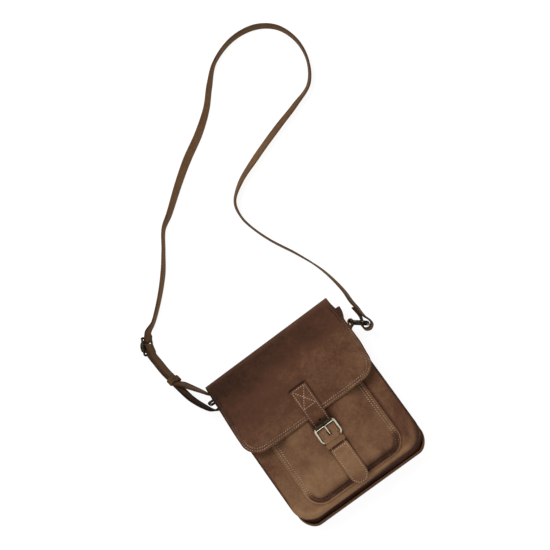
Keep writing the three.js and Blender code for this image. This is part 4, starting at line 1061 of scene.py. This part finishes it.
class BAG_OT_body(bpy.types.Operator):
    """Makes the back panel, the front panel and the gusset between them"""
    bl_idname = "bag.body"
    bl_label = "Body"

    def execute(self, context):
        self.back(context.scene)
        self.front(context.scene)
        self.sides(context.scene)
        return {"FINISHED"}

    def back(self, scene):
        """The flat back, darker round its skirt."""
        outer, faces = rolled_panel(BACK_TOP, BACK_CORNER, BACK_SPLAY, lambda x, y: 0 * x, 1, BACK_SKIRT, 0.5)
        x, y, z = outer.T
        tone = 0.1 * wavering(x, y, 60.0, 1.0) - 0.45 * above(z, 3.0, 4.0)
        add_leather(scene, "back_leather", outer, faces, PANEL_WALL, "brown", "back_panel", tone)

    def front(self, scene):
        """The front: paler low down, with a painted highlight along its lower roll, painted shadows beside the pocket
        and under the flap's left corner, darker at its sides and painted shade on its skirt.
        """
        outer, faces = rolled_panel(FRONT_TOP, FRONT_CORNER, 0.0, front_face, -1, FRONT_SKIRT, 1.2)
        x, y, z = outer.T
        fall = front_face(x, y) - z
        distance = edge_distance(x, y, BODY_HALF, BODY_BOTTOM, FRONT_CORNER)
        low_right = above(x, 66.0, 18.0) * below(y, -40.0, 30.0)
        tone = 0.25 - 0.12 * x / BODY_HALF + 0.14 * below(y, -70.0, 35.0) - 0.13 * low_right
        # A painted highlight on the lower roll, and a painted shadow beside the pocket's right edge
        roll_highlight = above(fall, 0.0, 3.0) * below(fall, 6.0, 3.0) * below(y, -70.0, 30.0) * below(x, 40.0, 60.0)
        pocket_shadow = bell((x - POCKET_HALF - 1.2) / 1.8) * above(y, -98.0, 15.0)
        at_sides = above(np.abs(x), 96.0, 3.0) * above(y, -90.0, 15.0)
        tone = tone + 0.3 * roll_highlight - 0.55 * pocket_shadow - 0.7 * at_sides
        # A painted highlight follows the lower edge and swings in at the right corner; outside it the edge is painted
        # in shade
        corner = bell((x - 93.0) / 14.0) * bell((y + 97.0) / 14.0)
        shine = (0.4 + 0.2 * bell((x - 50.0) / 30.0)) * (1 - 0.45 * low_right)
        shine = shine * bell((distance - 5.5 - 6.0 * corner) / 4.0) * below(y, -84.0, 14.0)
        band = 2.4 + 5.5 * corner
        dark = below(distance, band, band) * above(x, -15.0, 60.0) * below(y, -72.0, 20.0)
        # The skirt, where the face falls more than 3.5 mm, is painted in shade
        tone = tone + shine - 0.75 * dark + painted_shadows(x, y, FRONT_SHADOWS) - 1.1 * above(fall, 3.5, 2.5)
        add_leather(scene, "front_leather", outer, faces, PANEL_WALL, "brown", "front_panel", tone)

    def sides(self, scene):
        """The gusset: paler at the top of its bowed right end, and painted lighter along the bottom, twice as much to
        the right, to lift the shade of its drawn-in recess.
        """
        outer = gusset_surface()
        faces = grid_faces(*outer.shape[:2])
        outer = outer.reshape(-1, 3)
        x, y, _ = outer.T
        bowed = above(x, 98.5, 3.0) * above(y, 60.0, 10.0)
        bottom = below(y, -80.0, 15.0) * (1 + above(x, 5.0, 55.0))
        tone = 0.05 + 0.95 * bowed + 0.2 * bottom
        add_leather(scene, "gusset_leather", outer, faces, GUSSET_WALL, "dark", "gusset", tone)


class BAG_OT_flap(bpy.types.Operator):
    """Makes the flap with its two rows of stitches"""
    bl_idname = "bag.flap"
    bl_label = "Flap"

    def execute(self, context):
        scene, sizes = context.scene, context.scene.bag_sizes
        middle, over = flap_surface()
        faces = grid_faces(*middle.shape[:2])
        places = middle.reshape(-1, 3)
        x, y, z = places.T
        over = over.reshape(-1) & (y < 112)
        skew, _ = flap_shift(x, y, z)
        distance = np.where(over, edge_distance(x, y - skew, flap_width(x, y - skew), FLAP_EDGE, FLAP_CORNER), 50.0)
        press = grooves(distance, FLAP_STITCH_ROWS, sizes) * below(y, 104.0, 6.0)
        soft = 0.35 * (wavering(x, y, 58.0, 0.7) - 1) * above(distance, 10.0, 10.0)
        lift = FLAP_WALL / 2 - press + np.where(over, soft, 0.0)
        outer = places + vertex_normals(places, faces) * lift[:, None]
        # Dark towards the fold with a painted highlight over it, paler to the right, and painted shadows round the
        # closure strap
        tone = 0.08 - 0.16 * below(y, 70.0, 30.0) * above(y, 20.0, 30.0) - 0.6 * above(y, 50.0, 45.0)
        tone = tone + 0.2 * (x / 80.0) * above(y, 15.0, 40.0) + 0.3 * above(y, 105.0, 8.0)
        tone = tone + 0.16 * above(x, 25.0, 40.0) * below(y, 45.0, 30.0)
        tone = tone - 0.1 * press / (sizes.groove_depth / MM)
        tone = tone - 0.5 * below(distance, 1.5, 1.0) * above(y, 8.0, 12.0)
        strap_end_shadow = bell((y - 38.0) / 1.5) * below(np.abs(x), 14.5, 2.0)
        strap_side_shadow = bell((x - 13.6) / 1.1) * below(y, 38.0, 4.0)
        tone = tone - 1.3 * strap_end_shadow - 0.5 * strap_side_shadow * over
        add_leather(scene, "flap_leather", outer, faces, FLAP_WALL, "brown", "flap", tone)
        sewn = joined(*(stitches(*flap_place(*self.row(inset)), sizes) for inset in FLAP_STITCH_ROWS))
        x, y, _ = sewn[0].T
        tone = -0.22 - np.where(x < 0, 0.35, 0.25) * above(y, 5.0, 20.0) - 0.35 * above(y, 50.0, 35.0)
        add_piece(scene, "flap_stitches", sewn, "thread", tone=tone)
        return {"FINISHED"}

    def row(self, inset):
        """A row of stitches that far inside the edge: down the right, round two corners and up the left."""
        top = np.linspace(102, FLAP_EDGE + FLAP_CORNER, 60)
        turn = np.linspace(0, np.pi / 2, 24)[1:-1]
        radius = FLAP_CORNER - inset
        right, left = (np.concatenate([flap_width(side, top) - inset,
                                       flap_width(side, top[-1]) - FLAP_CORNER + radius * np.cos(turn)])
                       for side in (1, -1))
        down = np.concatenate([top, FLAP_EDGE + FLAP_CORNER - radius * np.sin(turn)])
        low = np.linspace(right[-1], -left[-1], 82)[1:-1]
        px = np.concatenate([right, low, -left[::-1]])
        return px, np.concatenate([down, 0 * low + FLAP_EDGE + inset, down[::-1]])


class BAG_OT_pocket(bpy.types.Operator):
    """Makes the bulging front pocket with its two rows of stitches"""
    bl_idname = "bag.pocket"
    bl_label = "Front pocket"

    def execute(self, context):
        scene, sizes = context.scene, context.scene.bag_sizes
        turn = np.linspace(np.pi / 2, 0, 56)
        y = np.concatenate([POCKET_BOTTOM + POCKET_CORNER * (1 - np.sin(turn)),
                            np.linspace(POCKET_BOTTOM + POCKET_CORNER, POCKET_MOUTH, 60)[1:]])[:, None]
        short = np.clip(POCKET_BOTTOM + POCKET_CORNER - y, 0, POCKET_CORNER)
        half = POCKET_HALF - POCKET_CORNER + np.sqrt(POCKET_CORNER ** 2 - short ** 2)
        x = -edge_spread(POCKET_HALF, 1.6)[None, :] * half
        y = y + 0 * x
        distance = edge_distance(x, y, POCKET_HALF, POCKET_BOTTOM, POCKET_CORNER)
        press = grooves(distance, POCKET_STITCH_ROWS, sizes)
        bulge = pocket_bulge(x, y)
        soft = 0.55 * (wavering(x, y, 47.0, 2.1) - 1) * above(bulge, 0.5, 0.4)
        pleat = 0.7 * np.sin(x / 2.1 + 1.5 * np.sin(x / 11.0)) * above(bulge, 0.0, 0.25) * below(bulge, 0.8, 0.4)
        pleat = pleat * below(y, -86.0, 8.0)
        outer = np.stack([x, y, pocket_height(x, y) - press + soft + np.minimum(pleat, 0.2)], -1).reshape(-1, 3)
        # A painted highlight low on the bulge, stronger on the left; painted shade along the gathered bottom, and
        # painted shadows under the flap's edge and beside the closure strap, most above the buckle
        tone = 0.36 - 0.06 * x / POCKET_HALF + (0.17 - 0.13 * x / POCKET_HALF) * below(y, -45.0, 40.0)
        tone = tone + painted_shadows(x, y, POCKET_SHADOWS) - 0.25 * bell((x - 20.0) / 6.0) * below(y, -48.0, 20.0)
        tone = tone - 0.12 * press / (sizes.groove_depth / MM)
        # Along the bottom the wall and flange are painted in shade, with a thin painted highlight on the outer edge
        low = below(y, -78.0, 14.0)
        tone = tone - 0.8 * low * above(distance, 1.0, 1.8) * below(distance, 13.0, 8.0)
        tone = tone + 0.1 * low * below(distance, 1.6, 0.8)
        strap_shadow_high = bell((x - 14.5) / 4.5) + 0.8 * bell((x + 13.6) / 1.6)
        strap_shadow_low = bell((x - 13.6) / 1.4) + 0.6 * bell((x + 13.4) / 1.0)
        tone = tone - 0.9 * strap_shadow_high * above(y, -44.0, 16.0) - 0.4 * strap_shadow_low * below(y, -44.0, 12.0)
        add_leather(scene, "pocket_leather", outer, grid_faces(*x.shape), POCKET_WALL, "brown", "front_pocket",
                    tone.reshape(-1))
        sewn = joined(*(stitches(*self.row(inset), sizes) for inset in POCKET_STITCH_ROWS))
        # The stitches along the bottom are painted in shade too
        tone = -0.15 - 0.6 * below(sewn[0][:, 1], -80.0, 14.0)
        add_piece(scene, "pocket_stitches", sewn, "thread", tone=tone)
        return {"FINISHED"}

    def row(self, inset):
        """Places and normals of a row that far inside the edge: down the right, along the bottom and up the left."""
        top = np.linspace(POCKET_MOUTH - 2, POCKET_BOTTOM + POCKET_CORNER, 70)
        turn = np.linspace(0, np.pi / 2, 24)[1:-1]
        flat, radius = POCKET_HALF - POCKET_CORNER, POCKET_CORNER - inset
        side_x = np.concatenate([0 * top + POCKET_HALF - inset, flat + radius * np.cos(turn)])
        side_y = np.concatenate([top, POCKET_BOTTOM + POCKET_CORNER - radius * np.sin(turn)])
        low = np.linspace(flat, -flat, 60)
        px = np.concatenate([side_x, low, -side_x[::-1]])
        py = np.concatenate([side_y, 0 * low + POCKET_BOTTOM + inset, side_y[::-1]])
        step = SURFACE_STEP
        slope = [pocket_height(px - step, py) - pocket_height(px + step, py),
                 pocket_height(px, py - step) - pocket_height(px, py + step)]
        normal = unit(np.stack([*slope, 0 * px + 2 * step], 1))
        return np.stack([px, py, pocket_height(px, py)], 1), normal


class BAG_OT_closure(bpy.types.Operator):
    """Makes the closure strap with its holes and stitches, and the keeper that it runs through"""
    bl_idname = "bag.closure"
    bl_label = "Closure strap"

    def execute(self, context):
        scene, sizes = context.scene, context.scene.bag_sizes
        route = closure_route()
        at = even_steps(route, STRAP_STEP)
        line = smooth_route(route, at)
        along = unit(smooth_route(route, at + ROUTE_STEP) - smooth_route(route, at - ROUTE_STEP))
        up = np.stack([0 * line[:, 0], -along[:, 2], along[:, 1]], 1)
        up = up * np.sign(up[:, 2:3])
        self.strap(scene, sizes, line, up)
        self.sewing(scene, sizes, line, up)
        self.keeper(scene)
        return {"FINISHED"}

    def strap(self, scene, sizes, line, up):
        """The strap's outer face, a grid along its line whose faces inside the holes are left out."""
        x = np.linspace(1, -1, STRAP_COLUMNS)[None, :] * closure_half(line[:, 1])[:, None]
        x, y = self.punched(x, line[:, 1:2] + 0 * x)
        places = np.stack([x, y, np.interp(-y, -line[:, 1], line[:, 2])], -1).reshape(-1, 3)
        faces = grid_faces(len(line), STRAP_COLUMNS)
        centre = places[faces].mean(1)
        outside = [self.off_hole(centre[:, 0], centre[:, 1], hole)[0] >= hole[2] for hole in STRAP_HOLES]
        faces = faces[np.all(outside, 0)]
        used, number = np.unique(faces, return_inverse=True)
        places, faces = places[used], number.reshape(-1, 4)
        x, run, _ = places.T
        inset = closure_half(run) - np.abs(x)
        press = grooves(inset, (STRAP_STITCH_ROW,), sizes) * (run > -112)
        lift = STRAP_WALL / 2 - press - 0.3 * below(inset, 1.2, 1.2)
        outer = places + read_off(-run, -line[:, 1], up) * lift[:, None]
        # Paler below the buckle and darker at the tip and the top end; painted shade falls under the front bar, round
        # the prong's slot and below the keeper
        tone = 0.14 + 0.45 * below(run, -25.0, 8.0) - 0.2 * below(run, -98.0, 10.0) - 0.5 * above(run, 35.6, 1.0)
        tone = tone - 0.12 * press / (sizes.groove_depth / MM) + painted_shadows(x, run, CLOSURE_SHADES)
        add_leather(scene, "closure_strap_leather", outer, faces, STRAP_WALL, "brown", "closure_strap", tone)

    def off_hole(self, x, y, hole):
        """Distance from a hole's middle line, which runs between the centres of its round ends, and the y on it."""
        low, high, half = hole
        middle = np.clip(y, low + half, high - half)
        return np.hypot(x, y - middle), middle

    def punched(self, x, y):
        """Moves the grid points nearest to each hole's outline on to it, along the way from the hole's middle."""
        for hole in STRAP_HOLES:
            far, middle = self.off_hole(x, y, hole)
            near = (np.abs(far - hole[2]) < HOLE_SNAP) & (far > HOLE_CORE)
            share = np.where(near, hole[2] / np.maximum(far, 1e-6), 1.0)
            x, y = x * share, middle + (y - middle) * share
        return x, y

    def sewing(self, scene, sizes, line, up):
        """The row round the strap's edge, and the straight rows across it."""
        def row(px, py):
            way = read_off(-py, -line[:, 1], up)
            height = np.interp(-py, -line[:, 1], line[:, 2])
            return stitches(np.stack([px, py, height], 1) + way * STRAP_WALL / 2, way, sizes)
        edge = np.linspace(*STRAP_SEWN, 260)
        reach = np.maximum(closure_half(edge) - STRAP_STITCH_ROW, 0.0)
        rows = [row(np.concatenate([reach, -reach[::-1]]), np.concatenate([edge, edge[::-1]]))]
        share = np.linspace(0, 1, 30)
        rows += [row(a[0] + (b[0] - a[0]) * share, a[1] + (b[1] - a[1]) * share) for a, b in STRAP_BOX]
        sewn = joined(*rows)
        y = sewn[0][:, 1]
        tone = -0.05 - 0.4 * below(y, 2.0, 8.0) * above(y, -56.0, 6.0)
        add_piece(scene, "closure_stitches", sewn, "thread", tone=tone)

    def keeper(self, scene):
        """The loop below the buckle: a flat band bent round the strap, tilted with it."""
        wall, band, wide, deep, corner = CLOSURE_KEEPER
        tilt = np.pi / 2 + KEEPER_TILT
        rise = np.array([0.0, np.cos(tilt), np.sin(tilt)])
        loop = rounded_loop(wide + wall, deep + wall, corner, bars=14)
        keeper = bar_loop(loop, (0, KEEPER_Y, SEAT + KEEPER_LIFT), (1, 0, 0), rise, wall / 2, band / 2, SQUARE_BAND, 24)
        add_piece(scene, "closure_keeper_leather", keeper, "brown", ("closure_keeper",), tone=0.45)


class BAG_OT_buckle(bpy.types.Operator):
    """Makes the brass buckle frame and prong, and the leather chape that holds them"""
    bl_idname = "bag.buckle"
    bl_label = "Buckle"

    def execute(self, context):
        heel = np.array([0.0, HEEL_Y, SEAT + HEEL_LIFT])
        self.frame(context.scene, heel)
        self.prong(context.scene, heel)
        self.chape(context.scene, heel)
        return {"FINISHED"}

    def frame(self, scene, heel):
        """The frame: a bar round a rounded loop, widest at the front, whose front bar is dark outside, with a painted
        highlight along its inner edge.
        """
        tilt = np.arctan2(BUCKLE_RISE, BUCKLE_REACH)
        v = np.array([0.0, np.cos(tilt), np.sin(tilt)])
        loop = rounded_loop(BUCKLE_WIDTH - BUCKLE_SIDE, BUCKLE_REACH, BUCKLE_CORNER, arc=10, bars=12)
        front, back = np.clip(loop[:, 3], 0, 1) ** 2, np.clip(-loop[:, 3], 0, 1) ** 2
        half = (BUCKLE_SIDE + (BUCKLE_FRONT - BUCKLE_SIDE) * front + (BUCKLE_HEEL - BUCKLE_SIDE) * back) / 2
        sides = 18
        shape = bar_loop(loop, heel + v * BUCKLE_REACH / 2, (1, 0, 0), v, half, BUCKLE_PLATE / 2, 0.72, sides)
        # The front bar's inner edge gets a painted highlight; the rest of that bar is dark
        inside = above(-np.cos(np.linspace(0, 2 * np.pi, sides, endpoint=False)), 0.35, 0.5)
        tone = 0.85 - front[:, None] * (1.7 - 1.5 * inside)
        add_piece(scene, "buckle_brass", shape, "brass", ("buckle_frame",), tone.reshape(-1))

    def prong(self, scene, heel):
        """The prong: a round finger along its route, its tip slimmed by an ellipse, and an eye round the heel bar."""
        route = np.stack([0 * PRONG_ROUTE[:, 0], PRONG_ROUTE[:, 0], SEAT + PRONG_ROUTE[:, 1]], 1)
        at = np.linspace(0, len(route) - 1, 40)
        line = smooth_route(route, at)
        along = unit(np.gradient(line, axis=0))
        tip = np.sqrt(np.clip(1 - ((at - PRONG_TIP) / PRONG_TIP_LENGTH) ** 2, 0.05, 1))
        slim = PRONG_RADIUS * np.where(at > PRONG_TIP, tip, 1.0)
        side = np.tile((1.0, 0.0, 0.0), (len(at), 1))
        finger = carried(round_section(np.stack([slim, slim], 1), sides=12), line, side, np.cross(along, side))
        loop = rounded_loop(PRONG_EYE, PRONG_EYE, PRONG_EYE_CORNER, bars=3)
        eye = bar_loop(loop, heel, (0, 1, 0), (0, 0, 1), PRONG_EYE_WALL / 2, PRONG_EYE_WIDTH / 2, 0.5, 12)
        shape = joined(finger, eye)
        tone = 0.7 - 1.6 * above(shape[0][:, 1], -29.0, 2.0)
        add_piece(scene, "prong_brass", shape, "brass", ("buckle_prong",), tone)

    def chape(self, scene, heel):
        """The chape: a strip folded round the heel bar, with a gap in its fold for the prong."""
        turn = np.linspace(-np.pi / 2, np.pi / 2, 15)
        low = SEAT + GAP + CHAPE_WALL / 2
        profile = np.vstack([
            [(CHAPE_ENDS[0], low + CHAPE_LIFT), (HEEL_Y - CHAPE_UNDER[0], low + CHAPE_UNDER[1])],
            np.stack([HEEL_Y + CHAPE_LOOP * np.cos(turn), heel[2] + CHAPE_LOOP * np.sin(turn)], 1),
            [(HEEL_Y - CHAPE_OVER[0], heel[2] + CHAPE_OVER[1]),
             (CHAPE_ENDS[1], low + CHAPE_LIFT + CHAPE_WALL + GAP)],
        ])
        across = np.linspace(CHAPE_HALF, CHAPE_GAP_HALF, 10)
        across = np.concatenate([across, -across[::-1]])
        columns = len(across)
        strip = np.stack([np.broadcast_to(across, (len(profile), columns)), np.repeat(profile[:, :1], columns, 1),
                          np.repeat(profile[:, 1:], columns, 1)], -1)
        places, faces = strip.reshape(-1, 3), grid_faces(len(profile), columns)
        outer = places + vertex_normals(places, faces) * CHAPE_WALL / 2
        middle = places[faces].mean(1)
        faces = faces[~((np.abs(middle[:, 0]) < CHAPE_GAP_HALF) & (middle[:, 1] > HEEL_Y - CHAPE_GAP_BACK))]
        add_leather(scene, "chape_leather", outer, faces, CHAPE_WALL, "brown", "buckle_chape", -0.1)


class BAG_OT_rings(bpy.types.Operator):
    """Makes the two brass side rings and the leather tabs that hold them to the gusset"""
    bl_idname = "bag.rings"
    bl_label = "Rings and tabs"

    def execute(self, context):
        for name, (side, bar, reach, bow, foot) in RINGS.items():
            way = np.array([*reach, 0.0]) / np.hypot(*reach)
            origin = np.array([*bar, MID_DEPTH]) + way * RING_REACH / 2
            loop = rounded_loop(RING_REACH, RING_OPENING + RING_WIRE, RING_CORNER, arc=10)
            ring = bar_loop(loop, origin, way, (0, 0, 1), RING_WIRE / 2, RING_WIRE / 2, SQUARE_WIRE, 16)
            add_piece(context.scene, f"ring_{name}_brass", ring, "brass", (f"ring_{name}",), -0.75 + 0.2 * side)
            self.tab(context.scene, name, side, bar, bow, foot)
        return {"FINISHED"}

    def tab(self, scene, name, side, bar, bow, foot):
        """A tab: a strip sewn up the gusset, round the ring's inner bar and back down over itself."""
        sewn = np.linspace(foot, foot + TAB_SEWN, 4)
        wall_x = side * (BODY_HALF - GUSSET_INSET + gusset_bow(bow, sewn, MID_DEPTH))
        first, second = GAP + TAB_WALL / 2, 2 * GAP + 1.5 * TAB_WALL
        up = np.stack([wall_x + side * first, sewn], 1)
        down = np.stack([wall_x + side * second, sewn], 1)[::-1]
        ahead = unit(np.array(bar) - up[-1])
        inner = side * np.array([-ahead[1], ahead[0]])
        turn = np.linspace(TAB_WRAP, -TAB_WRAP, 11)[:, None]
        over = bar + TAB_LOOP * (np.cos(turn) * ahead + np.sin(turn) * inner)
        neck = bar - TAB_NECK * ahead
        half = (TAB_WALL + GAP) / 2 * inner
        path = np.vstack([up, neck + half, over, neck - half, down])
        path = np.hstack([path, np.zeros((len(path), 1))])
        line = smooth_route(path, even_steps(path, TAB_STEP))
        spread = np.linspace(-0.5, 0.5, TAB_COLUMNS) * TAB_WIDTH + MID_DEPTH
        strip = np.stack([np.repeat(line[:, :1], TAB_COLUMNS, 1), np.repeat(line[:, 1:2], TAB_COLUMNS, 1),
                          np.broadcast_to(spread, (len(line), TAB_COLUMNS))], -1).reshape(-1, 3)
        faces = grid_faces(len(line), TAB_COLUMNS)
        outer = strip + vertex_normals(strip, faces) * TAB_WALL / 2
        add_leather(scene, f"ring_tab_{name}_leather", outer, faces, TAB_WALL, "dark", f"ring_tab_{name}", -0.2)


STEPS = (BAG_OT_stage, BAG_OT_strap_fittings, BAG_OT_shoulder_strap, BAG_OT_body, BAG_OT_flap, BAG_OT_pocket,
         BAG_OT_closure, BAG_OT_buckle, BAG_OT_rings)


class BAG_PT_pieces(bpy.types.Panel):
    """Lists the bag's pieces and the sizes and colours that they share"""
    bl_idname = "BAG_PT_pieces"
    bl_label = "Crossbody bag"
    bl_space_type = "VIEW_3D"
    bl_region_type = "UI"
    bl_category = "Bag"

    def draw(self, context):
        for step in STEPS:
            self.layout.operator(step.bl_idname)
        for group in (context.scene.bag_sizes, context.scene.bag_colours):
            column = self.layout.column(align=True)
            for key in group.__annotations__:
                column.prop(group, key)


CLASSES = (BagSizes, BagColours, *STEPS, BAG_PT_pieces)


def register():
    """Registers the classes, and gives the scene the bag's sizes and colours."""
    for made in CLASSES:
        bpy.utils.register_class(made)
    bpy.types.Scene.bag_sizes = PointerProperty(type=BagSizes)
    bpy.types.Scene.bag_colours = PointerProperty(type=BagColours)


def unregister():
    """Takes back what register gave, in reverse."""
    del bpy.types.Scene.bag_colours
    del bpy.types.Scene.bag_sizes
    for made in reversed(CLASSES):
        bpy.utils.unregister_class(made)


def main():
    """Makes the stage and every piece in order."""
    register()
    bpy.ops.bag.stage()
    bpy.ops.bag.strap_fittings()
    bpy.ops.bag.shoulder_strap()
    bpy.ops.bag.body()
    bpy.ops.bag.flap()
    bpy.ops.bag.pocket()
    bpy.ops.bag.closure()
    bpy.ops.bag.buckle()
    bpy.ops.bag.rings()


if __name__ == "__main__":
    main()
